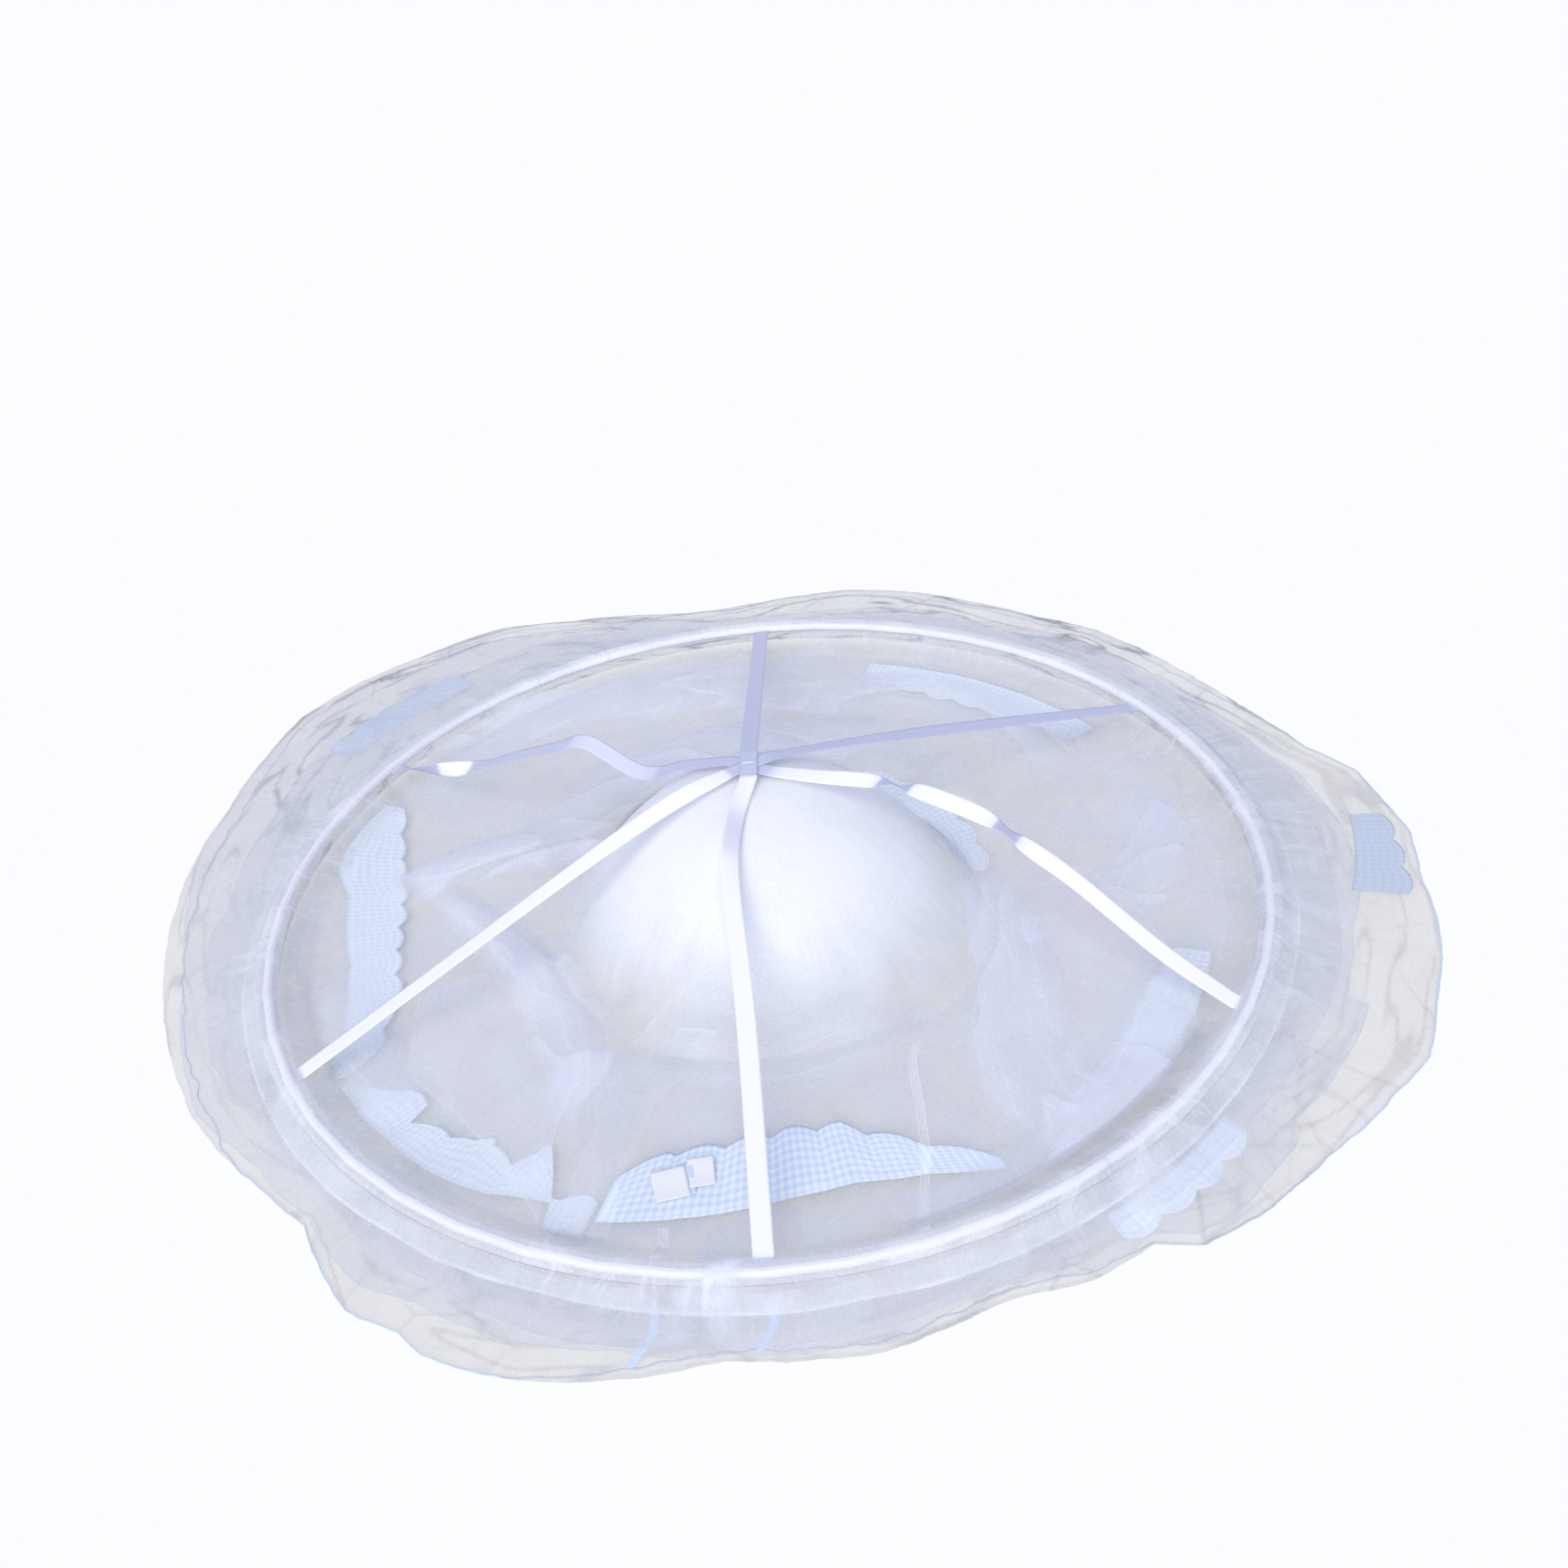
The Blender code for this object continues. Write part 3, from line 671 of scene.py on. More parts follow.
def surface(
    name: str,
    points: np.ndarray,
    material: bpy.types.Material,
    cover: np.ndarray | float = 1.0,
    painted_light: np.ndarray | float = 0.5,
    ring: bool = False,
    tube: bool = False,
    wraps: bool = False,
) -> bpy.types.Object:
    """Make a smooth mesh object from a grid of points.

    A sheet's faces look up. A tube's, or those of a grid that wraps round something, look out,
    where its rows turn from its columns' run as a right-hand screw does.

    Args:
        name: The object's name.
        points: The grid, rows by columns by x, y and z.
        material: Its material.
        cover: How much of the cloth is thread, at each point.
        painted_light: The light and shade painted into each point's colour, from painted shade in a
        hollow to a painted highlight on a crest.
        ring: Whether the last column joins the first.
        tube: Whether the last row joins the first.
        wraps: Whether the grid closes round something, though its last row is free.

    Returns:
        The new object, with a map in metres called "cloth".
    """
    rows, columns = points.shape[:2]
    number = np.arange(rows * columns).reshape(rows, columns)
    if ring:
        number = np.concatenate([number, number[:, :1]], axis=1)
    if tube:
        number = np.concatenate([number, number[:1]], axis=0)
    corners = (number[:-1, :-1], number[:-1, 1:], number[1:, 1:], number[1:, :-1])
    order = -1 if not (tube or wraps) and faces_down(points) else 1
    faces = np.stack(corners[::order], axis=-1).reshape(-1, 4)
    run, rise = cloth_lengths(points)
    across = np.linspace(0, run, number.shape[1])
    down = np.linspace(0, rise, number.shape[0])
    map_at = np.stack(np.meshgrid(across, down), axis=-1)
    map_corners = (map_at[:-1, :-1], map_at[:-1, 1:], map_at[1:, 1:], map_at[1:, :-1])
    map_values = np.stack(map_corners[::order], axis=2).astype(np.float32)
    mesh = bpy.data.meshes.new(name)
    mesh.vertices.add(rows * columns)
    mesh.vertices.foreach_set("co", points.astype(np.float32).ravel())
    mesh.loops.add(faces.size)
    mesh.loops.foreach_set("vertex_index", faces.astype(np.int32).ravel())
    mesh.polygons.add(len(faces))
    mesh.polygons.foreach_set("loop_start", np.arange(0, faces.size, 4, dtype=np.int32))
    mesh.update(calc_edges=True)
    mesh.uv_layers.new(name="cloth").uv.foreach_set("vector", map_values.ravel())
    for label, values in (("cover", cover), ("painted_light", painted_light)):
        spread = np.broadcast_to(values, (rows, columns)).astype(np.float32).ravel()
        mesh.attributes.new(label, "FLOAT", "POINT").data.foreach_set("value", spread)
    mesh.validate()
    close_poles(mesh, points)
    mesh.shade_smooth()
    mesh.materials.append(material)
    made = bpy.data.objects.new(name, mesh)
    bpy.context.scene.collection.objects.link(made)
    return made


def thicken(piece: bpy.types.Object, name: str, thickness: float, offset: float = 0.0) -> None:
    """Give a sheet its thickness with a modifier.

    Args:
        piece: The sheet.
        name: The modifier's name.
        thickness: How thick it gets.
        offset: 0 for both sides alike, and -1 for all of it on the lower side.
    """
    solid = piece.modifiers.new(name, "SOLIDIFY")
    solid.thickness = thickness
    solid.offset = offset


def lay_sheet(
    points: np.ndarray, cut: bool = False
) -> None:
    """Measure a piece of cloth by the lengths of its own grid, which nothing has stretched.

    Args:
        points: Its grid.
        cut: Whether it is cut to another shape than a rectangle, so that its area is summed too.
    """
    run, rise = cloth_lengths(points)
    area = None
    if cut:
        first = points[1:, 1:] - points[:-1, :-1]
        second = points[1:, :-1] - points[:-1, 1:]
        area = float(np.linalg.norm(np.cross(first, second), axis=-1).sum() / 2)
        area = min(area, run * rise)


@dataclass
class Camera:
    """The photograph's view, as found from the hoop's ellipse and the six ribbon ends."""

    lens_mm: float = 37.37
    sensor_mm: float = 36.0
    distance: float = 2.0545
    elevation: float = 34.96
    roll: float = -6.41
    aim: tuple[float, float, float] = (0.0370, 0.1719, 0.0400)

    def make(self) -> None:
        """Make the scene's camera: it looks along +Y and down, and is rolled about its own line."""
        lift, turn = math.radians(self.elevation), math.radians(self.roll)
        ahead = Vector((0, math.cos(lift), -math.sin(lift)))
        level = Vector((1, 0, 0))
        upright = level.cross(ahead)
        right = level * math.cos(turn) + upright * math.sin(turn)
        up = upright * math.cos(turn) - level * math.sin(turn)
        data = bpy.data.cameras.new("photo_view")
        data.lens = self.lens_mm
        data.sensor_width = self.sensor_mm
        made = bpy.data.objects.new("photo_view", data)
        axes = Matrix((right, up, -ahead)).transposed().to_4x4()
        made.matrix_world = Matrix.Translation(Vector(self.aim) - ahead * self.distance) @ axes
        bpy.context.scene.collection.objects.link(made)
        bpy.context.scene.camera = made


@dataclass
class Studio:
    """A pale floor, a soft lamp in front and above, and a cool pale surround."""

    floor_size: float = 40.0
    floor_drop: float = 0.0006
    lamp_height: float = 40.0
    lamp_side: float = -16.0
    lamp_strength: float = 1.90
    lamp_width: float = 50.0
    lamp_colour: str = "#FFFAEE"
    surround: str = "#CED6F6"
    surround_strength: float = 0.765
    white: str = "#FFFFFF"
    floor_white: float = 0.80

    def shown(self, tree: bpy.types.NodeTree) -> bpy.types.NodeSocket:
        """Tell apart the rays that a viewer sees a surface by.

        Args:
            tree: The tree that gets the nodes.

        Returns:
            A socket that is 1 where a camera, mirror or glass ray meets the surface.
        """
        rays = add(tree, "ShaderNodeLightPath").outputs
        total = rays["Is Camera Ray"]
        for kind in ("Is Glossy Ray", "Is Transmission Ray"):
            either = {"operation": "MAXIMUM", 0: total, 1: rays[kind]}
            total = add(tree, "ShaderNodeMath", either).outputs[0]
        return total

    def make_floor(self) -> None:
        """Make the floor, mostly its own white to the camera but still taking shadow."""
        half = self.floor_size / 2
        mesh = bpy.data.meshes.new("studio_floor")
        corners = [(-half, -half), (half, -half), (half, half), (-half, half)]
        mesh.from_pydata([(x, y, -self.floor_drop) for x, y in corners], [], [(0, 1, 2, 3)])
        made, tree, shader = blank("pale studio floor")
        white = linear(self.white)
        fill(tree, shader, {"Base Color": white, "Roughness": 1.0, "Specular IOR Level": 0.0})
        glow = add(tree, "ShaderNodeEmission", {"Color": white, "Strength": 1.0}).outputs[0]
        part = {"operation": "MULTIPLY", 0: self.shown(tree), 1: self.floor_white}
        amount = add(tree, "ShaderNodeMath", part).outputs[0]
        both = {0: amount, 1: shader.outputs[0], 2: glow}
        mixed = add(tree, "ShaderNodeMixShader", both).outputs[0]
        fill(tree, tree.nodes[OUTPUT_NODE], {"Surface": mixed})
        mesh.materials.append(made)
        floor = bpy.data.objects.new("studio_floor", mesh)
        bpy.context.scene.collection.objects.link(floor)

    def make_lights(self) -> None:
        """Make the lamp and the surround, which is white to the camera."""
        data = bpy.data.lights.new("soft_lamp", "SUN")
        data.energy = self.lamp_strength
        data.angle = math.radians(self.lamp_width)
        data.color = linear(self.lamp_colour)[:3]
        lamp = bpy.data.objects.new("soft_lamp", data)
        lift, turn = math.radians(self.lamp_height), math.radians(self.lamp_side)
        toward = (math.sin(turn) * math.cos(lift), -math.cos(turn) * math.cos(lift), math.sin(lift))
        lamp.rotation_mode = "QUATERNION"
        lamp.rotation_quaternion = Vector(toward).to_track_quat("Z", "Y")
        bpy.context.scene.collection.objects.link(lamp)
        world = bpy.data.worlds.new("studio_surround")
        world.use_nodes = True
        tree = world.node_tree
        tree.nodes.clear()
        lights = {1: (self.surround, self.surround_strength), 2: (self.white, 1.0)}
        both = {0: self.shown(tree)}
        for number, (colour, strength) in lights.items():
            values = {"Color": linear(colour), "Strength": strength}
            both[number] = add(tree, "ShaderNodeBackground", values).outputs[0]
        mixed = add(tree, "ShaderNodeMixShader", both).outputs[0]
        add(tree, "ShaderNodeOutputWorld", {"Surface": mixed})
        bpy.context.scene.world = world
        bpy.context.scene.view_settings.view_transform = "Standard"


# How far the skirt's edge stands out from the even outline, as a bearing and millimetres
EDGE_WANDER = (
    (4, 1), (9, 6), (14, -14), (23, -12), (36, 2), (46, 7), (53, -6), (62, 2), (69, 17), (77, 24),
    (84, 8), (93, -20), (97, -26), (110, -18), (117, 4), (127, 6), (134, 18), (141, 20), (148, -2),
    (157, -18), (166, -8), (177, -2), (185, 0), (195, 5), (203, 8), (209, 2), (216, -14),
    (222, -24), (227, -8), (232, 5), (237, -3), (240, 7), (248, 10), (257, 1), (264, -12),
    (268, -4), (276, 4), (287, -12), (294, 2), (300, -6), (303, 18), (308, 16), (317, -2),
    (325, -6), (330, 2), (337, -8), (346, -6), (353, -10), (359, 4),
)


class Outline:
    """The skirt's outer edge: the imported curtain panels' edge, with small corners and bays."""

    def __init__(self) -> None:
        """Collect the panels' outermost points and sort them by bearing."""
        found = []
        for side in ("left", "right", "back"):
            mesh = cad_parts[f"curtain_{side}"].data
            places = np.zeros(len(mesh.vertices) * 3, np.float32)
            mesh.vertices.foreach_get("co", places)
            found.append(places.reshape(-1, 3))
        points = np.concatenate(found)
        radius = np.hypot(points[:, 0], points[:, 1])
        rim = (points[:, 2] < 1 * MM) & (radius > HOOP_R)
        turn = np.degrees(np.arctan2(points[rim, 1], points[rim, 0])) % 360
        order = np.argsort(turn)
        self.turn = turn[order]
        self.radius = radius[rim][order]

    def even(self, bearing: np.ndarray) -> np.ndarray:
        """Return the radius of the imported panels' edge at each bearing."""
        return np.interp(bearing, self.turn, self.radius, period=360)

    def reach(self, bearing: np.ndarray) -> np.ndarray:
        """Work out where the cloth ends: the even edge, its corners and bays, and a fray.

        Args:
            bearing: Where, in degrees.

        Returns:
            The radius of the cloth's edge at each bearing.
        """
        turn, wander = zip(*EDGE_WANDER)
        corner = np.interp(bearing, turn, np.array(wander) * MM, period=360)
        frayed = 1.6 * MM * (Noise(15, 3).at(np.asarray(bearing) * 64 / 90, 0.5) - 0.5) * 2
        return self.even(bearing) + corner + frayed


@dataclass
class Skirt:
    """The net outside the hoop: a single ply that reaches the outline and fuller plies over it."""

    outline: Outline
    start: float = 0.5660
    sewn: float = 0.5860
    door: float = 0.5900
    top: float = 0.0235
    edge: float = 0.0044
    full_lift: float = 0.0036
    middle_lift: float = 0.0056
    highest: float = 0.0306
    single_hang: tuple[float, float] = (6.5 * MM, 25.0 * MM)
    full_hang: tuple[float, float] = (8.0 * MM, 27.0 * MM)
    hem_gap: float = 0.08
    hem_out: float = 1.2 * MM
    hem_z: float = 1.5 * MM
    hem_half_width: float = 1.0 * MM
    hem_half_height: float = 0.8 * MM
    hem_rows: int = 400
    door_inset: float = 5 * MM
    door_lift: float = 2.6 * MM
    door_half: float = 4.0 * MM
    door_rows: int = 60
    seam_start: float = 0.5876
    seam_width: float = 0.0184
    seam_end: float = 0.6060
    seam_top: float = 0.0365
    seam_columns: int = 1080
    seam_rows: int = 13
    columns: int = 1280
    rows: int = 58
    full_shares: tuple[float, ...] = (
        0.60, 0.62, 0.50, 0.56, 0.80, 0.88, 0.82, 0.87, 0.66, 0.95, 0.86, 0.62,
    )
    middle_shares: tuple[float, ...] = (
        0.38, 0.50, 0.34, 0.38, 0.62, 0.56, 0.66, 0.50, 0.46, 0.84, 0.58, 0.42,
    )

    def base(self, radius: np.ndarray, bearing: np.ndarray) -> np.ndarray:
        """Return the lowest ply's height, which falls evenly from the hoop to the edge."""
        share = (radius - self.start) / (self.outline.reach(bearing) - self.start)
        return self.top + (self.edge - self.top) * np.clip(share, 0, 1)

    def drop(self, piece: bpy.types.Object, low: float, high: float) -> None:
        """Bake a ply's place into its mesh."""
        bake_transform(piece)

    def make_lower(self, net: bpy.types.Material) -> None:
        """Make the single ply: an even fall with creases that fork towards the edge.

        The height is the even fall, raised on broad and fine creases and on a slack noise. Tucks
        are the thin lines where a noise round the hoop crosses its middle, stronger behind.

        Args:
            net: The material.
        """
        bearing, share = full_turn(self.columns), column(0, 1, self.rows)
        edge = self.outline.reach(bearing)
        radius = self.start + (edge - self.start) * share
        x, y = flat_at(radius, bearing)
        broad = Crush(21, 0.075, 0.007).at(x, y)
        fine = Crush(24, 0.034, 0.005).at(x, y)
        slack = Noise(27, 3).at(x / 0.06, y / 0.06)
        height = self.base(radius, bearing) + (0.8 * broad + 0.3 * fine + 1.2 * slack) * MM
        long = Crush(30, 0.150, 0.005).at(x, y)
        depth = (edge - radius) / 0.020
        tuck = 1 - np.abs(2 * Noise(33, 2).round_hoop(bearing * 0.5, depth) - 1)
        behind = smooth_step((bearing - 12) / 20) * smooth_step((172 - bearing) / 20)
        tuck = smooth_step((tuck - 0.84) / 0.14) * (0.40 + 0.60 * behind)
        rim = smooth_step((radius - edge + 2.6 * MM) / (1.6 * MM))
        points = polar(radius, bearing, height - 3.2 * MM * smooth_step((share - 0.985) / 0.015))
        cover = 0.41 + 0.12 * broad + 0.07 * fine + 0.14 * rim + 0.30 * long + 0.42 * tuck
        cover = cover + 0.12 * (slack - 0.5)
        # Painted shade darkens the creases, the turned rim and the tucks
        painted_light = 0.66 - 0.24 * broad - 0.12 * fine - 0.20 * rim - 0.45 * long - 0.60 * tuck
        piece = surface("skirt_single_ply", points, net, cover, np.clip(painted_light, 0, 1), ring=True)
        lay_sheet(points)
        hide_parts("curtain_left", "curtain_right", "curtain_back")
        self.drop(piece, *self.single_hang)

    def make_upper(
        self,
        name: str,
        shares: tuple[float, ...],
        seed: int,
        lift: float,
        net: bpy.types.Material,
    ) -> None:
        """Make one of the fuller plies, gathered at the hoop and creased outward.

        Its edge is the given shares with coarse and fine corners. Its folds are a noise drawn out
        along the radius, deepest near the hoop, over broad creases and a slack noise.

        Args:
            name: The piece's name.
            shares: How much of the skirt's width it covers, at even steps round the hoop.
            seed: Which creases and corners.
            lift: How far it lies above the single ply.
            net: The material.
        """
        bearing, share = full_turn(self.columns), column(0, 1, self.rows)
        full = self.outline.reach(bearing) - self.sewn
        part = around(shares, bearing) + angular(bearing, seed, 40, 0.13)
        part = part + angular(bearing, seed + 1, 9, 0.08)
        radius = self.sewn + full * np.clip(part, 0.2, 0.975) * share
        x, y = flat_at(radius, bearing)
        broad = Crush(seed + 2, 0.060, 0.007).at(x, y)
        slack = Noise(seed + 5, 3).at(x / 0.07, y / 0.07)
        ply = Plies(seed + 9, 0.13).at(x, y)
        swept = bearing + 5 * (Noise(seed + 6, 2).at(x / 0.12, y / 0.12) - 0.5)
        fold = Noise(seed + 7, 3, cells=128).round_hoop(swept, share * 1.2)
        fold = smooth_step((fold - 0.42) / 0.30)
        near = (1 - share) ** 1.3
        raised = (0.8 * broad + 0.8 * slack + 1.6 * fold * near) * MM
        height = self.base(radius, bearing) + lift + raised
        points = polar(radius, bearing, np.minimum(height, self.highest))
        rim = smooth_step((share - 0.972) / 0.02)
        cover = 0.27 + 0.14 * broad + 0.16 * fold * near + 0.06 * near + 0.22 * rim + 0.18 * ply
        # Painted shade in the creases and at the rim; a painted highlight on fold crests near the
        # hoop and along ply edges
        painted_light = 0.40 - 0.25 * broad - 0.20 * rim + 0.40 * fold * near + 0.20 * ply
        piece = surface(name, points, net, cover, np.clip(painted_light, 0, 1), ring=True)
        lay_sheet(points)
        self.drop(piece, *self.full_hang)

    def hem_inset(self, bearing: np.ndarray) -> np.ndarray:
        """Work out how far inside the edge the hem lies, where the cloth is turned under.

        Args:
            bearing: Where, in degrees.

        Returns:
            The inset at each bearing.
        """
        places = (0, 20, 35, 125, 140, 165, 185, 205, 212, 245, 255, 292, 300, 330, 345, 360)
        inset = (0, 2, 14, 16, 16, 26, 24, 14, 0, 0, 12, 12, 4, 0, 0, 0)
        drift = 10 * (Noise(37, 3).at(np.asarray(bearing) * 64 / 120, 0.2) - 0.5)
        even = np.interp(bearing, places, np.array(inset), period=360)
        return (even + np.minimum(even / 14, 1) * drift) * MM

    def make_hem(self, side: str, first: float, last: float, binding: bpy.types.Material) -> None:
        """Make the binding on one panel's outer edge, an oval cord of folded cloth.

        Args:
            side: Which panel.
            first: The bearing where the panel starts.
            last: The bearing where it ends.
            binding: The material.
        """
        bearing = column(first + self.hem_gap, last - self.hem_gap, self.hem_rows)
        turn = np.linspace(0, math.tau, 10, endpoint=False)[None, :]
        place = bearing % 360
        middle = self.outline.reach(place) - self.hem_inset(place) + self.hem_out
        radius = middle + self.hem_half_width * np.cos(turn)
        points = polar(radius, bearing, self.hem_z + self.hem_half_height * np.sin(turn))
        piece = surface(f"hem_{side}", np.swapaxes(points, 0, 1), binding, tube=True)
        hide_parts(f"hem_binding_{side}")
        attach(piece, FLOOR_BODY)

    def make_door(self, side: str, bearing: float, binding: bpy.types.Material) -> None:
        """Make the tape on one door edge, folded between the plies.

        Args:
            side: Which edge.
            bearing: Where it lies.
            binding: The material.
        """
        share, across = column(0, 1, self.door_rows), row(-1, 1, 7)
        end = self.outline.reach(np.array(bearing)) - self.door_inset
        radius = self.door + (end - self.door) * share
        rise = self.base(radius, np.array(bearing)) + self.door_lift
        height = rise + 0.3 * MM * (1 - across**2)
        turn = bearing + 0.8 * np.sin(4 * share) + np.degrees(self.door_half * across / radius)
        points = polar(radius, turn, height)
        piece = surface(f"door_edge_{side}", points, binding)
        lay_sheet(points)
        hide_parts(f"door_binding_{side}")
        self.drop(piece, *self.single_hang)

    def make_casing_seam(self, net: bpy.types.Material) -> None:
        """Make the casing's seam allowance, a band that falls from the sleeve to its own edge.

        Args:
            net: The material.
        """
        bearing, share = full_turn(self.seam_columns), column(0, 1, self.seam_rows)
        drift = 4.0 * MM * (Noise(62, 2).round_hoop(bearing, 0.3) - 0.5)
        radius = self.seam_start + (self.seam_width + drift) * share
        foot = self.base(self.seam_end + drift, bearing) + self.middle_lift + 2.2 * MM
        points = polar(radius, bearing, self.seam_top + (foot - self.seam_top) * share)
        shine = smooth_step((Noise(63, 3).round_hoop(bearing, 0.7) - 0.35) / 0.3)
        pucker = Noise(64, 3, cells=256).round_hoop(bearing, share)
        ahead = 0.30 + 0.70 * smooth_step((0.5 - np.sin(np.radians(bearing))) / 1.0)
        line = smooth_step((share - 0.78) / 0.15) * ahead
        # Painted highlight on the puckers and along the seam line; the line is also denser in
        # patches of painted shine
        cover = 0.24 + 0.14 * pucker + 0.16 * ahead + (0.05 + 0.25 * shine) * line
        painted_light = 0.60 + 0.2 * pucker + 0.3 * line
        piece = surface("casing_seam", points, net, cover, painted_light, ring=True)
        lay_sheet(points)
        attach(piece, HOOP_BODY)

    def make(self, materials: dict[str, bpy.types.Material]) -> None:
        """Make every ply, binding and seam of the skirt.

        Args:
            materials: Every material by the piece that it is for.
        """
        net, binding = materials["skirt"], materials["binding"]
        self.make_lower(materials["single"])
        self.make_upper("skirt_full_ply", self.full_shares, 41, self.full_lift, net)
        self.make_upper("skirt_middle_ply", self.middle_shares, 51, self.middle_lift, net)
        for side, first, last in (("left", 142, 262), ("right", 262, 382), ("back", 22, 142)):
            self.make_hem(side, first, last, binding)
        self.make_door("left", 257.0, binding)
        self.make_door("right", 267.0, binding)
        self.make_casing_seam(materials["casing"])


def dress_node(node: bpy.types.Object, material: bpy.types.Material) -> None:
    """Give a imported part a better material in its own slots.

    Args:
        node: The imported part.
        material: The material.
    """
    if not node.material_slots:
        node.data.materials.append(material)
    for slot in node.material_slots:
        slot.material = material


@dataclass
class Sleeve:
    """The puckered casing that the hoop runs in, with the hoop's tubes seen through it."""

    columns: int = 1440
    rows: int = 18

    def make(self, materials: dict[str, bpy.types.Material]) -> None:
        """Make the casing: an oval carried round the hoop, open at its inner seam, with puckers.

        Args:
            materials: Every material by the piece that it is for.
        """
        bearing = full_turn(self.columns)
        lip = math.pi - math.asin(SLOT_H / SLEEVE_H)
        turn = column(-lip, lip, self.rows)
        pucker = Noise(71, 3, cells=256).round_hoop(bearing + 0.4 * np.sin(2 * turn), turn / 3)
        swell = 1.0 - 0.03 * (1 - pucker)
        ease = 1 - smooth_step((np.abs(turn) - lip + 0.5) / 0.5)
        size = swell * ease + (1 - ease)
        radius = HOOP_R + SLEEVE_W / 2 * np.cos(turn) * size
        height = SLEEVE_Z + SLEEVE_H / 2 * np.sin(turn) * size
        points = polar(radius, bearing, height)
        # Patches of painted shine, and a painted highlight along the casing's two sides and on its
        # puckers
        shine = smooth_step((Noise(74, 3).round_hoop(bearing, 0.4) - 0.50) / 0.18)
        edge = np.abs(np.cos(turn)) ** 3
        cover = 0.38 + 0.08 * pucker + 0.08 * edge + 0.14 * shine
        painted_light = 0.50 + 0.25 * edge + 0.10 * pucker + 0.25 * shine
        net = materials["casing"]
        piece = surface("hoop_casing", points, net, cover, painted_light, ring=True, wraps=True)
        lay_sheet(points)
        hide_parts("hoop_sleeve")
        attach(piece, HOOP_BODY)
        for number in range(1, 5):
            dress_node(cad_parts[f"hoop_tube_{number}"], materials["tube"])
            dress_node(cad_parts[f"hoop_joiner_{number}"], materials["joiner"])


@dataclass
class Pile:
    """The curtain bunched on the floor under the crossing, a rounded cone of crushed net."""

    foot: float = 0.012
    spread: float = 0.245
    lean: float = 0.048
    curve: float = 2.0
    zone: float = 0.300
    lowest: float = 0.006
    bed_reach: float = 0.610
    columns: int = 800
    rows: int = 100
    bed_rows: int = 118

    @property
    def top(self) -> float:
        """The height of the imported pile."""
        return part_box("net_heap")[1].z

    def height(self, radius: np.ndarray, bearing: np.ndarray) -> np.ndarray:
        """Work out the pile's height: one less a power of the share of its spread.

        Args:
            radius: How far each place is from the axis.
            bearing: Its bearing in degrees.

        Returns:
            The height at each place.
        """
        spread = self.spread - self.lean * np.sin(np.radians(bearing))
        share = np.minimum(radius / spread, 1.0)
        return self.foot + (self.top - self.foot) * (1 - share**self.curve)

    def make(self, net: bpy.types.Material) -> None:
        """Make the pile, dense at its crown and fraying into wisps at its foot.

        Its height is the cone's, less lumps near its crown and wisps near its foot. A wisp is a
        noise drawn out along the radius.

        Args:
            net: The material.
        """
        bearing, share = full_turn(self.columns), column(0, 1, self.rows) ** 0.8
        radius = self.zone * share
        x, y = flat_at(radius, bearing)
        lump = Noise(81, 3).at(x / 0.09, y / 0.09)
        swept = bearing + 22 * (Noise(82, 2).at(x / 0.10, y / 0.10) - 0.5)
        wisp = Noise(83, 4, cells=32).round_hoop(swept, radius / 0.12)
        body = self.height(radius, bearing)
        level = (body - self.foot) / (self.top - self.foot)
        low = smooth_step(level / 0.25)
        height = body - (1.5 + 5 * lump * (1 - share) + 2 * wisp * share) * MM * low
        points = polar(radius, bearing, np.maximum(height, self.lowest))
        cover = np.clip(smooth_step((level + 0.05 + 0.26 * (wisp - 0.5)) / 0.66), 0.02, 1)
        # A painted highlight on the crown, fading to painted shade towards the foot
        painted_light = 0.45 + 0.50 * smooth_step(level / 0.8) + 0.15 * (wisp - 0.5) * (1 - level)
        piece = surface("net_pile", points, net, cover, np.clip(painted_light, 0, 1), ring=True)
        lay_sheet(points)
        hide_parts("net_heap")
        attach(piece, FLOOR_BODY)
        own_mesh(piece)

    def make_bed(self, net: bpy.types.Material) -> None:
        """Make the curtain's creased plies that lie on the floor inside the hoop.

        Args:
            net: The material.
        """
        bearing, radius = full_turn(self.columns), column(0.0, self.bed_reach, self.bed_rows)
        x, y = flat_at(radius, bearing)
        broad = Crush(91, 0.110, 0.010).at(x, y)
        ply = Plies(94, 0.20).at(x, y)
        small = Plies(97, 0.11).at(x, y)
        slack = Noise(95, 3).at(x / 0.05, y / 0.05)
        under = smooth_step((radius - 0.56) / 0.05)
        points = polar(radius, bearing, 3.0 * MM + (1.0 * broad + 2.0 * slack) * MM * (1 - under))
        cover = (0.54 + 0.22 * ply + 0.14 * small + 0.08 * broad) * (1 - 0.85 * under)
        # A painted highlight along the plies' folded edges and on the creases; painted shade in the
        # gaps
        painted_light = 0.03 + 0.55 * ply + 0.38 * small + 0.10 * broad
        piece = surface("net_bed", points, net, cover, np.clip(painted_light, 0, 1), ring=True)
        lay_sheet(points)
        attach(piece, FLOOR_BODY)


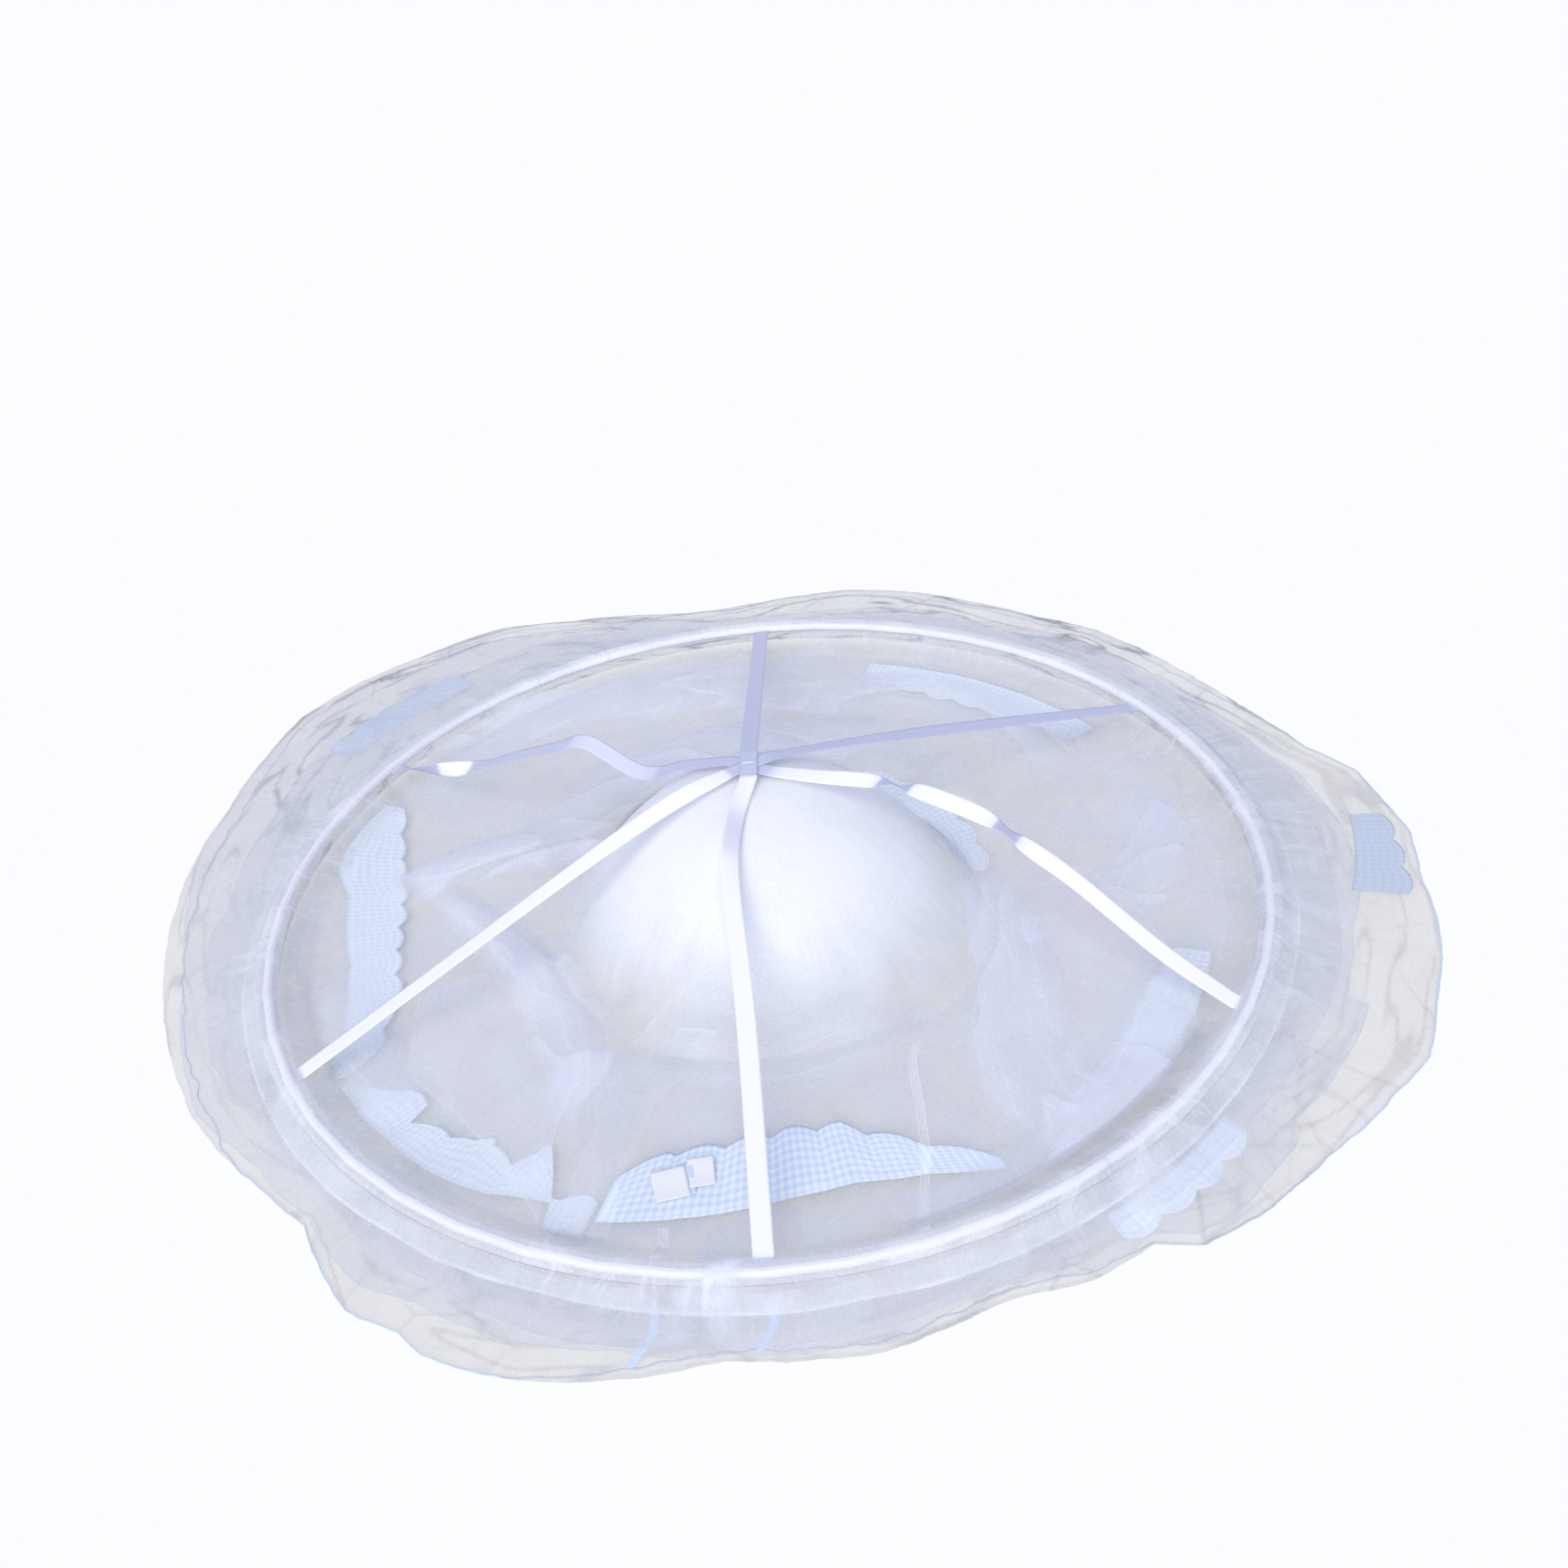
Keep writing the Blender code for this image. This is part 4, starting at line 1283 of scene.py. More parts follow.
@dataclass
class Roof:
    """The roof: a crown over the pile and three flat panels that rise into the sleeve's seam."""

    pile: Pile
    zone: float = 0.2998
    flat: float = 0.0128
    seam: float = 0.0386
    panel_gap: float = 0.03
    crown_columns: int = 540
    crown_rows: int = 64
    panel_columns: int = 460
    panel_rows: int = 96

    def height(self, radius: np.ndarray, bearing: np.ndarray) -> np.ndarray:
        """Work out the roof's height: over the pile, along the bed, then up to the seam.

        Args:
            radius: How far each place is from the axis.
            bearing: Its bearing in degrees.

        Returns:
            The height at each place.
        """
        crown = self.pile.height(radius, bearing) + self.flat - self.pile.foot
        rise = np.interp(radius, [KNEE_R, FOOT_R, SEAM_R], [0, 1, 1])
        return crown + (self.seam - self.flat) * rise

    def make_crown(self, net: bpy.types.Material) -> None:
        """Make the single thin ply draped over the pile.

        Args:
            net: The material.
        """
        bearing = full_turn(self.crown_columns)
        radius = column(0.0, self.zone, self.crown_rows)
        x, y = flat_at(radius, bearing)
        crease = Crush(101, 0.070, 0.008).at(x, y)
        far = radius / self.zone
        height = self.height(radius, bearing) + (0.8 + 0.8 * crease * far) * MM
        points = polar(radius, bearing, height)
        swept = bearing + 30 * (Noise(104, 2).at(x / 0.10, y / 0.10) - 0.5)
        wisp = Noise(105, 4, cells=32).round_hoop(swept, radius / 0.15)
        cover = 0.03 + 0.12 * crease * far + 0.30 * smooth_step((wisp - 0.40) / 0.40) * far**2
        piece = surface("roof_crown_ply", points, net, cover, 0.8, ring=True)
        lay_sheet(points)
        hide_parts("roof_crown")
        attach(piece, HOOP_BODY)
        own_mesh(piece)

    def make_panel(self, side: str, first: float, last: float, net: bpy.types.Material) -> None:
        """Make one flat panel, wrinkled, with gathers that run up into the sleeve.

        Args:
            side: Which panel.
            first: The bearing where it starts.
            last: The bearing where it ends.
            net: The material.
        """
        bearing = row(first + self.panel_gap, last - self.panel_gap, self.panel_columns)
        radius = column(self.zone, SEAM_R, self.panel_rows)
        x, y = flat_at(radius, bearing)
        broad = Crush(111, 0.090, 0.009).at(x, y)
        slack = Noise(114, 3).at(x / 0.05, y / 0.05)
        rim = smooth_step((radius - 0.46) / 0.10)
        swept = bearing + 4 * (Noise(115, 2).at(x / 0.08, y / 0.08) - 0.5)
        fold = Noise(116, 3, cells=128).round_hoop(swept, radius / 0.2)
        fold = smooth_step((fold - 0.40) / 0.40) * rim
        ply = Plies(118, 0.16).at(x, y)
        lift = (1.0 * broad + 0.6 * slack) * MM * (1 - rim) + 0.6 * MM * fold
        points = polar(radius, bearing, self.height(radius, bearing) + lift)
        wall = smooth_step((radius - KNEE_R) / 0.02)
        cover = 0.17 + 0.08 * broad + 0.16 * ply + 0.14 * fold * (1 - 0.7 * wall) - 0.08 * wall
        cover = np.clip(cover, 0.04, 0.9)
        # A painted highlight on the creases, the ply edges and the folds
        painted_light = 0.40 + 0.20 * broad + 0.30 * ply + 0.25 * fold
        piece = surface(f"roof_{side}_ply", points, net, cover, np.clip(painted_light, 0, 1))
        lay_sheet(points)
        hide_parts(f"roof_panel_{side}")
        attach(piece, HOOP_BODY)

    def make(self, net: bpy.types.Material) -> None:
        """Make the crown and the three panels.

        Args:
            net: The material.
        """
        self.make_crown(net)
        for side, (first, last) in ROOF_PANELS.items():
            self.make_panel(side, first, last, net)


def over_sleeve(first: float, last: float, gap: float) -> np.ndarray:
    """Draw the part of a strip's section that lies over the sleeve, an oval a gap away from it.

    Args:
        first: The angle where it starts, from the outer side anticlockwise.
        last: The angle where it ends.
        gap: How far above the sleeve it lies.

    Returns:
        The radius and height of its points, one a row.
    """
    turn = np.radians(np.linspace(first, last, 9))
    out = HOOP_R + (SLEEVE_W / 2 + gap) * np.cos(turn)
    up = SLEEVE_Z + (SLEEVE_H / 2 + gap) * np.sin(turn)
    return np.stack([out, up], axis=1)


@dataclass
class Frill:
    """One length of gathered frill, from the sleeve's seam to its gingham hem."""

    name: str
    first: float
    last: float
    side: Side
    width: float
    weight: float = 1.0
    pinch: float = 0.0
    skew: float = 0.0
    gap: float = 1.2 * MM
    first_out: float = 0.5615
    land: float = 0.5990
    columns_each: int = 9
    least_columns: int = 48
    rows: int = 44

    def line(self, skirt: Skirt) -> np.ndarray:
        """Draw the strip's section.

        Args:
            skirt: The skirt that an outward strip lies on.

        Returns:
            The radius and height of its points from the seam to the free edge, one a row.
        """
        free = HOOP_R + self.side.value * self.width
        if self.side is Side.INWARD:
            lying = ROOF_TOP + 0.4 * MM
            return np.array([(SEAM_R, SEAM_Z), (FOOT_R, SEAM_Z), (KNEE_R, lying), (free, lying)])
        middle = np.array((self.first + self.last) / 2)
        out = np.linspace(self.land, free, 5)
        down = skirt.base(out, middle) + skirt.middle_lift + 3.4 * MM
        ends = [(SEAM_R, SEAM_Z + 0.5 * MM), (self.first_out, SEAM_Z + 0.8 * MM)]
        return np.vstack([ends, over_sleeve(150, 0, self.gap), np.stack([out, down], axis=1)])

    def make(self, skirt: Skirt, net: bpy.types.Material) -> None:
        """Make the strip: its section carried round the hoop, with gathers that open outward.

        Folds are a noise drawn out along the strip, and streaks are thin ones that end unevenly.
        The strip fades towards its ends, its seam and its free edge.

        Args:
            skirt: The skirt that an outward strip lies on.
            net: The material.
        """
        columns = max(int((self.last - self.first) * self.columns_each), self.least_columns)
        share = column(0, 1, self.rows)
        middle, half = (self.first + self.last) / 2, (self.last - self.first) / 2
        opened = smooth_step(share / 0.6)
        half = half * (1 - self.pinch * (1 - opened))
        bearing = middle + self.skew * (1 - opened) + half * row(-1, 1, columns)
        radius, height = along_line(self.line(skirt), share)
        swept = bearing + 3.0 * (Noise(120, 2).at(bearing / 4, share * 2) - 0.5)
        fold = smooth_step((Noise(121, 3, cells=128).at(swept / 2.4, share * 0.8) - 0.40) / 0.30)
        thin = smooth_step((Noise(122, 3, cells=128).at(swept / 1.1, share * 1.5) - 0.58) / 0.14)
        free = smooth_step((share - 0.25) / 0.4)
        raised = (2.4 * fold + 0.5 * thin) * MM * free
        points = polar(radius + 0 * bearing, bearing, height + raised)
        reach = 0.35 + 0.65 * Noise(124, 2).at(bearing / 3, 0.2)
        streak = thin * smooth_step((reach - share) / 0.25)
        inset = half - np.abs(bearing - middle - self.skew * (1 - opened))
        sides = smooth_step(inset / (half * 0.8).clip(max=2.5))
        inner = 0.45 + 0.55 * smooth_step(share / 0.35) if self.side is Side.INWARD else 1.0
        fade = sides * inner * (1 - 0.5 * smooth_step((share - 0.8) / 0.2))
        cover = np.clip((0.10 + 0.14 * fold + 0.18 * streak) * fade * self.weight, 0, 0.95)
        # A painted highlight on the folds and the streaks
        painted_light = np.clip(0.50 + 0.20 * fold + 0.30 * streak, 0, 1)
        piece = surface(f"{self.name}_gathers", points, net, cover, painted_light)
        lay_sheet(points)
        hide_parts(self.name)
        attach(piece, HOOP_BODY)


FRILLS = (
    Frill("frill_left", 149.6, 204.6, Side.INWARD, 0.050),
    Frill("frill_front_left", 209.6, 255.2, Side.INWARD, 0.050),
    Frill("frill_gather", 258.0, 265.8, Side.OUTWARD, 0.057, 2.8, 0.45, 3.2),
    Frill("frill_front", 269.6, 294.2, Side.INWARD, 0.069, 0.6),
    Frill("frill_front_right", 298.2, 313.4, Side.OUTWARD, 0.033),
    Frill("frill_side_right", 315.8, 324.6, Side.INWARD, 0.050),
    Frill("frill_right", 329.6, 384.6, Side.OUTWARD, 0.097),
    Frill("frill_back_right", 29.6, 84.6, Side.INWARD, 0.050),
    Frill("frill_back_left", 89.6, 144.6, Side.OUTWARD, 0.095),
)


@dataclass
class StrayGathers:
    """Loose filaments and pinched folds of the roof that cross over the sleeve."""

    name: str
    first: float
    last: float
    inner: float
    outer: float
    strong: float = 0.60
    gap: float = 2.2 * MM
    rise_to: float = 0.5290
    land: float = 0.6010
    columns_each: int = 8
    rows: int = 54

    def make(self, skirt: Skirt, net: bpy.types.Material) -> None:
        """Make the strip: it rises from the roof over the sleeve and falls on to the skirt.

        Args:
            skirt: The skirt that it falls on to.
            net: The material.
        """
        columns = int((self.last - self.first) * self.columns_each)
        bearing, share = row(self.first, self.last, columns), column(0, 1, self.rows)
        middle = np.array((self.first + self.last) / 2)
        near = np.linspace(self.inner, self.rise_to, 4)
        out = np.linspace(self.land, self.outer, 6)
        down = skirt.base(out, middle) + skirt.middle_lift + 5.2 * MM
        rise = np.stack([near, 0 * near + ROOF_TOP + 3.0 * MM], axis=1)
        fall = np.stack([out, down], axis=1)
        line = np.vstack([rise, over_sleeve(160, 5, self.gap), fall])
        radius, height = along_line(line, share)
        swept = bearing + 7.0 * (Noise(141, 2).at(bearing / 5, share * 2.5) - 0.5)
        thin = smooth_step((Noise(142, 3, cells=256).at(swept / 1.0, share * 1.6) - 0.60) / 0.10)
        haze = smooth_step((Noise(143, 2, cells=128).at(swept / 5.0, share * 1.2) - 0.50) / 0.30)
        sides = smooth_step(np.minimum(bearing - self.first, self.last - bearing) / 6.0)
        ends = smooth_step(share / 0.3) * smooth_step((1 - share) / 0.3)
        cover = (self.strong * thin + 0.14 * haze) * sides * ends
        points = polar(radius + 0 * bearing, bearing, height + 0.5 * MM * thin)
        piece = surface(self.name, points, net, cover, 0.95)
        lay_sheet(points)
        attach(piece, HOOP_BODY)


STRAYS = (
    StrayGathers("strays_left", 150, 214, 0.500, 0.655, 0.40),
    StrayGathers("strays_front", 240, 262, 0.530, 0.625, 0.30),
    StrayGathers("strays_front_right", 290, 326, 0.520, 0.650, 0.35),
    StrayGathers("strays_right", 332, 384, 0.552, 0.690, 0.35),
)


@dataclass
class GinghamHem:
    """One length of gingham hem, its sewn edge straight and its free edge scalloped.

    Each place is a bearing, the radius of the sewn edge and the radius of the free edge.
    """

    name: str
    places: tuple[tuple[float, float, float], ...]
    side: Side
    under: bool = True
    finish: str = "gingham_veiled"
    scallop: float = 0.046
    depth: float = 0.009
    thickness: float = 0.4 * MM
    columns: int = 220
    rows: int = 18

    def base(self, skirt: Skirt, radius: np.ndarray, turn: np.ndarray) -> np.ndarray | float:
        """Work out the height of what the strip lies on, or is folded under.

        Args:
            skirt: The skirt that an outward strip lies on.
            radius: How far each place is from the axis.
            turn: Its bearing in degrees.

        Returns:
            The height at each place, or one height for all.
        """
        if self.side is Side.OUTWARD:
            return skirt.base(radius, turn) + 1.4 * MM
        return ROOF_TOP - 2.9 * MM if self.under else ROOF_TOP + 1.4 * MM

    def make(self, skirt: Skirt, cloth: bpy.types.Material) -> None:
        """Make the strip between its two edges, each in straight runs between its own places.

        A scallop is the size of a sine's half wave. A slack noise ripples the cloth, and a strip
        that lies on top curls up at its scallops.

        Args:
            skirt: The skirt that an outward strip lies on.
            cloth: The material.
        """
        edges = along_line(np.array(self.places, float), np.linspace(0, 1, self.columns))
        bearing, sewn, free = np.stack(edges, axis=1).T
        run = np.radians(abs(bearing[-1] - bearing[0])) * free.mean()
        count = max(round(run / self.scallop), 1)
        bulge = np.abs(np.sin(math.pi * count * np.linspace(0, 1, self.columns)))
        free = free - self.side.value * self.depth * (1 - bulge**0.7)
        share = column(0, 1, self.rows)
        radius = sewn + (free - sewn) * share
        turn = np.broadcast_to(bearing[None, :], radius.shape)
        x, y = flat_at(radius, turn)
        ripple = Noise(131, 2).at(x / 0.035, y / 0.035) * (0.6 if self.under else 2.4)
        curl = 0.0 if self.under else 1.2
        raised = (ripple + curl * bulge * share) * MM
        points = polar(radius, turn, self.base(skirt, radius, turn) + raised)
        piece = surface(f"{self.name}_hem", points, cloth)
        thicken(piece, "cloth_thickness", self.thickness)
        lay_sheet(points)
        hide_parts(self.name)
        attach(piece, HOOP_BODY)


GINGHAMS = (
    GinghamHem(
        "gingham_left",
        (
            (151, 0.556, 0.522), (156, 0.560, 0.496), (162, 0.558, 0.466), (166, 0.546, 0.452),
            (171, 0.515, 0.438), (176, 0.505, 0.430), (186, 0.489, 0.427), (194, 0.494, 0.430),
            (199, 0.504, 0.446), (204, 0.529, 0.466), (207, 0.529, 0.500),
        ),
        Side.INWARD,
    ),
    GinghamHem(
        "gingham_front_left",
        (
            (208.4, 0.529, 0.520), (212.2, 0.529, 0.492), (214.6, 0.529, 0.464),
            (218.6, 0.526, 0.466), (219.4, 0.526, 0.488), (224.0, 0.525, 0.476),
            (228.2, 0.524, 0.468), (230.0, 0.522, 0.450), (234.8, 0.516, 0.474),
            (237.2, 0.508, 0.428), (239.6, 0.503, 0.456), (242.4, 0.500, 0.488),
            (243.2, 0.529, 0.490), (246.0, 0.529, 0.476), (247.7, 0.529, 0.478),
        ),
        Side.INWARD,
    ),
    GinghamHem(
        "gingham_front",
        (
            (248.5, 0.512, 0.450), (254, 0.502, 0.412), (262, 0.488, 0.398), (270, 0.474, 0.384),
            (278, 0.468, 0.388), (286, 0.482, 0.432), (294, 0.512, 0.488),
        ),
        Side.INWARD,
        under=False,
        finish="gingham",
    ),
    GinghamHem(
        "gingham_front_right",
        ((298, 0.606, 0.640), (306, 0.608, 0.646), (314, 0.606, 0.640)),
        Side.OUTWARD,
    ),
    GinghamHem(
        "gingham_side_right",
        ((316.2, 0.522, 0.470), (327, 0.521, 0.458), (338, 0.518, 0.470)),
        Side.INWARD,
    ),
    GinghamHem(
        "gingham_right",
        ((349.4, 0.668, 0.738), (355, 0.686, 0.744), (361.4, 0.704, 0.750)),
        Side.OUTWARD,
        finish="gingham_shaded",
    ),
    GinghamHem(
        "gingham_back_right",
        ((30, 0.524, 0.474), (44, 0.524, 0.458), (57, 0.524, 0.456), (70, 0.522, 0.472)),
        Side.INWARD,
    ),
    GinghamHem(
        "gingham_back_left",
        ((126, 0.668, 0.722), (135, 0.668, 0.730), (145, 0.668, 0.724)),
        Side.OUTWARD,
        finish="gingham_shaded",
    ),
)


@dataclass
class CaughtHem:
    """The length of gingham hem caught up on the right of the pile."""

    roof: Roof
    first: float = -2.9
    last: float = 57.1
    high: float = 0.222
    low: float = 0.270
    scallops: int = 5
    depth: float = 8 * MM
    columns: int = 160
    rows: int = 24

    def make(self, cloth: bpy.types.Material) -> None:
        """Make the strip under the roof's crown, its outer edge scalloped.

        Args:
            cloth: The material.
        """
        bearing, share = row(self.first, self.last, self.columns), column(0, 1, self.rows)
        bulge = np.abs(np.sin(math.pi * self.scallops * row(0, 1, self.columns)))
        radius = self.high + (self.low - self.depth * (1 - bulge) - self.high) * share
        height = self.roof.height(radius, bearing) + 0.2 * MM * bulge * share
        points = polar(radius, bearing, height)
        piece = surface("gingham_heap_hem", points, cloth)
        lay_sheet(points)
        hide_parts("gingham_heap")
        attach(piece, HOOP_BODY)
        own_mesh(piece)


@dataclass
class Swath:
    """A loose fold of the roof's slack net, seen as a streaked band with soft edges.

    Each place is a radius, a bearing and a rise above the roof. The width runs evenly from the
    first to the last.
    """

    name: str
    places: tuple[tuple[float, float, float], ...]
    widths: tuple[float, float]
    seed: int
    haze: float = 0.30
    strong: float = 0.40
    rows: int = 130
    columns: int = 56

    def make(self, roof: Roof, net: bpy.types.Material) -> None:
        """Make the band: a smooth centre line, carried sideways, arched and pleated lengthwise.

        Pleats, a slack noise and thin lines are read at places counted along and across the band.
        The arch is one less the square of the way across. The band fades at its sides and ends.

        Args:
            roof: The roof that it lies on.
            net: The material.
        """
        radius, bearing, rise = np.array(self.places, float).T
        line = curve_through(polar(radius, bearing, rise), self.rows)
        ahead = np.gradient(line[:, :2], axis=0)
        ahead /= np.linalg.norm(ahead, axis=1)[:, None]
        side = np.stack([-ahead[:, 1], ahead[:, 0]], axis=1)
        along, across = column(0, 1, self.rows), row(-1, 1, self.columns)
        half = (self.widths[0] + (self.widths[1] - self.widths[0]) * along) / 2
        sway = 0.5 * (Noise(self.seed, 2).at(along * 3, 0.5) - 0.5)
        spread = (across + sway * (1 - across**2)) * half
        x = line[:, :1] + side[:, :1] * spread
        y = line[:, 1:2] + side[:, 1:] * spread
        length = float(np.linalg.norm(np.diff(line, axis=0), axis=1).sum())
        out, far = across * half, along * length
        ply = Plies(self.seed + 2, 0.110).at(out, far / 2.2)
        slack = Noise(self.seed + 5, 3).at(out / 0.03 + 32, far / 0.09)
        thin = 1 - np.abs(2 * Noise(self.seed + 7, 2).at(out / 0.026 + 32, far / 0.11) - 1)
        thin = smooth_step((thin - 0.90) / 0.10)
        arch = line[:, 2:3] * (1 - across**2) + 1.5 * MM
        reach, turn = np.hypot(x, y), np.degrees(np.arctan2(y, x))
        height = roof.height(reach, turn) + arch + (1.6 * ply + 1.0 * slack) * MM
        points = np.stack([x, y, height], axis=-1)
        edge = 1 - smooth_step((np.abs(across) - 0.40 - 0.5 * (slack - 0.5)) / 0.50)
        soft = edge * smooth_step(along / 0.25) * smooth_step((1 - along) / 0.25)
        cover = soft * (self.haze * (0.7 + 1.0 * ply) + self.strong * (0.35 * slack + 0.22 * thin))
        # A painted highlight on the ply edges and the thin lines
        painted_light = 0.45 + 0.25 * ply + 0.30 * thin
        piece = surface(self.name, points, net, np.clip(cover, 0, 0.95), np.clip(painted_light, 0, 1))
        lay_sheet(points, cut=True)
        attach(piece, HOOP_BODY)


SWATHS = (
    Swath(
        "fold_wisp_left",
        ((0.21, 130, 0.004), (0.29, 157, 0.016), (0.39, 167, 0.018), (0.46, 176, 0.006)),
        (0.17, 0.09), 201, 0.62, 0.45,
    ),
    Swath(
        "fold_fan_left",
        ((0.45, 166, 0.006), (0.31, 190, 0.016), (0.32, 229, 0.014), (0.45, 243, 0.004)),
        (0.05, 0.14), 211, 0.64, 0.45,
    ),
    Swath(
        "fold_back_broad",
        ((0.54, 152, 0.006), (0.49, 120, 0.014), (0.46, 94, 0.014), (0.46, 66, 0.004)),
        (0.13, 0.19), 231, 0.55, 0.35,
    ),
    Swath(
        "fold_back_right",
        ((0.43, 84, 0.006), (0.44, 52, 0.014), (0.47, 14, 0.004)),
        (0.17, 0.13), 241, 0.45, 0.35,
    ),
    Swath(
        "fold_back_inner",
        ((0.32, 156, 0.010), (0.30, 100, 0.016), (0.35, 50, 0.008)),
        (0.18, 0.13), 251, 0.52, 0.45,
    ),
    Swath(
        "fold_right_fan",
        ((0.25, 14, 0.008), (0.32, 326, 0.018), (0.43, 306, 0.014), (0.56, 304, 0.004)),
        (0.10, 0.17), 261, 0.60, 0.40,
    ),
    Swath(
        "fold_right_edge",
        ((0.40, 342, 0.006), (0.45, 356, 0.014), (0.50, 16, 0.004)),
        (0.12, 0.10), 271, 0.42, 0.45,
    ),
    Swath(
        "fold_right_low",
        ((0.46, 334, 0.004), (0.505, 316, 0.010), (0.52, 292, 0.008), (0.52, 276, 0.003)),
        (0.13, 0.07), 281, 0.66, 0.15,
    ),
    Swath(
        "fold_pile_front",
        ((0.30, 244, 0.003), (0.30, 270, 0.006), (0.30, 300, 0.003)),
        (0.08, 0.08), 301, 0.30, 0.35,
    ),
    Swath(
        "fold_left_low",
        ((0.50, 186, 0.004), (0.49, 204, 0.010), (0.50, 222, 0.004)),
        (0.10, 0.08), 311, 0.34, 0.40,
    ),
)


@dataclass
class Veil:
    """A flat ply of slack net with crisp cut or folded edges.

    Its two long edges are straight runs between places, each a radius and a bearing.
    """

    name: str
    near: tuple[tuple[float, float], ...]
    far: tuple[tuple[float, float], ...]
    rise: float
    seed: int
    cover: float = 0.30
    # The base level of the painted light, between painted shade and a painted highlight
    painted_light: float = 0.55
    rows: int = 48
    columns: int = 110

    def edge(self, places: tuple[tuple[float, float], ...]) -> np.ndarray:
        """Draw one long edge.

        Args:
            places: Its corners, each a radius and a bearing.

        Returns:
            Even steps along its straight runs, as x and y, one a row.
        """
        corners = np.stack(flat_at(*np.array(places, float).T), axis=-1)
        return np.stack(along_line(corners, np.linspace(0, 1, self.columns)), axis=-1)

    def make(self, roof: Roof, net: bpy.types.Material) -> None:
        """Make the ply: straight lines between the two edges, creased, with denser rims.

        Args:
            roof: The roof that it lies on.
            net: The material.
        """
        near, far = self.edge(self.near), self.edge(self.far)
        share, along = column(0, 1, self.rows), row(0, 1, self.columns)
        flat = near[None] * (1 - share[..., None]) + far[None] * share[..., None]
        x, y = flat[..., 0], flat[..., 1]
        slack = Noise(self.seed, 3).at(x / 0.05, y / 0.05)
        broad = Crush(self.seed + 1, 0.080, 0.008).at(x, y)
        radius, bearing = np.hypot(x, y), np.degrees(np.arctan2(y, x))
        height = roof.height(radius, bearing) + self.rise + (1.2 * slack + 0.8 * broad) * MM
        points = np.stack([x, y, height], axis=-1)
        gap = np.minimum(np.minimum(share, 1 - share), 2.0 * np.minimum(along, 1 - along))
        rim = 1 - smooth_step(gap / 0.035)
        cover = self.cover * (0.60 + 0.6 * slack) + 0.08 * broad + 0.20 * rim
        # A painted highlight on the rims and the creases, swung by the slack
        painted_light = self.painted_light + 0.2 * (slack - 0.5) + 0.10 * broad + 0.25 * rim
        piece = surface(self.name, points, net, np.clip(cover, 0, 0.9), np.clip(painted_light, 0, 1))
        lay_sheet(points, cut=True)
        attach(piece, HOOP_BODY)


VEILS = (
    Veil(
        "veil_front",
        ((0.32, 234), (0.26, 242), (0.22, 256), (0.22, 275), (0.26, 294), (0.33, 309)),
        ((0.49, 247), (0.386, 247), (0.306, 252), (0.262, 263), (0.293, 289), (0.367, 306)),
        2.4 * MM, 401, 0.34, 0.65,
    ),
    Veil(
        "veil_arc",
        ((0.555, 246), (0.455, 243), (0.36, 242), (0.27, 248)),
        ((0.545, 251), (0.44, 249), (0.35, 249), (0.27, 257)),
        4.0 * MM, 411, 0.34, 0.85,
    ),
    Veil(
        "veil_left",
        ((0.416, 198), (0.343, 197), (0.304, 209), (0.295, 223)),
        ((0.468, 213), (0.462, 223), (0.483, 235), (0.530, 243)),
        5.0 * MM, 421, 0.44, 0.85,
    ),
    Veil(
        "veil_right",
        ((0.284, 345), (0.327, 327), (0.401, 310), (0.517, 306)),
        ((0.376, 356), (0.445, 343), (0.500, 332), (0.545, 322)),
        3.4 * MM, 431, 0.40, 0.85,
    ),
)


@dataclass
class Arm:
    """How one half of a ribbon lies.

    Each place is its share of the way from the crossing to the seam, its shift to the side and its
    rise above the straight line in millimetres, and how far its face is turned in degrees.
    """

    places: tuple[tuple[float, float, float, float], ...] = ((0, 0, 0, 0), (1, 0, 0, 0))

    def at(self, share: np.ndarray) -> tuple[np.ndarray, ...]:
        """Read a smooth curve through the places.

        Args:
            share: The shares of the way from the crossing to the seam.

        Returns:
            The shift, the rise and the turn at each share.
        """
        curve = curve_through(np.array(self.places, float), 240)
        shift, rise, turn = (np.interp(share, curve[:, 0], curve[:, axis]) for axis in (1, 2, 3))
        return shift * MM, rise * MM, np.radians(turn)


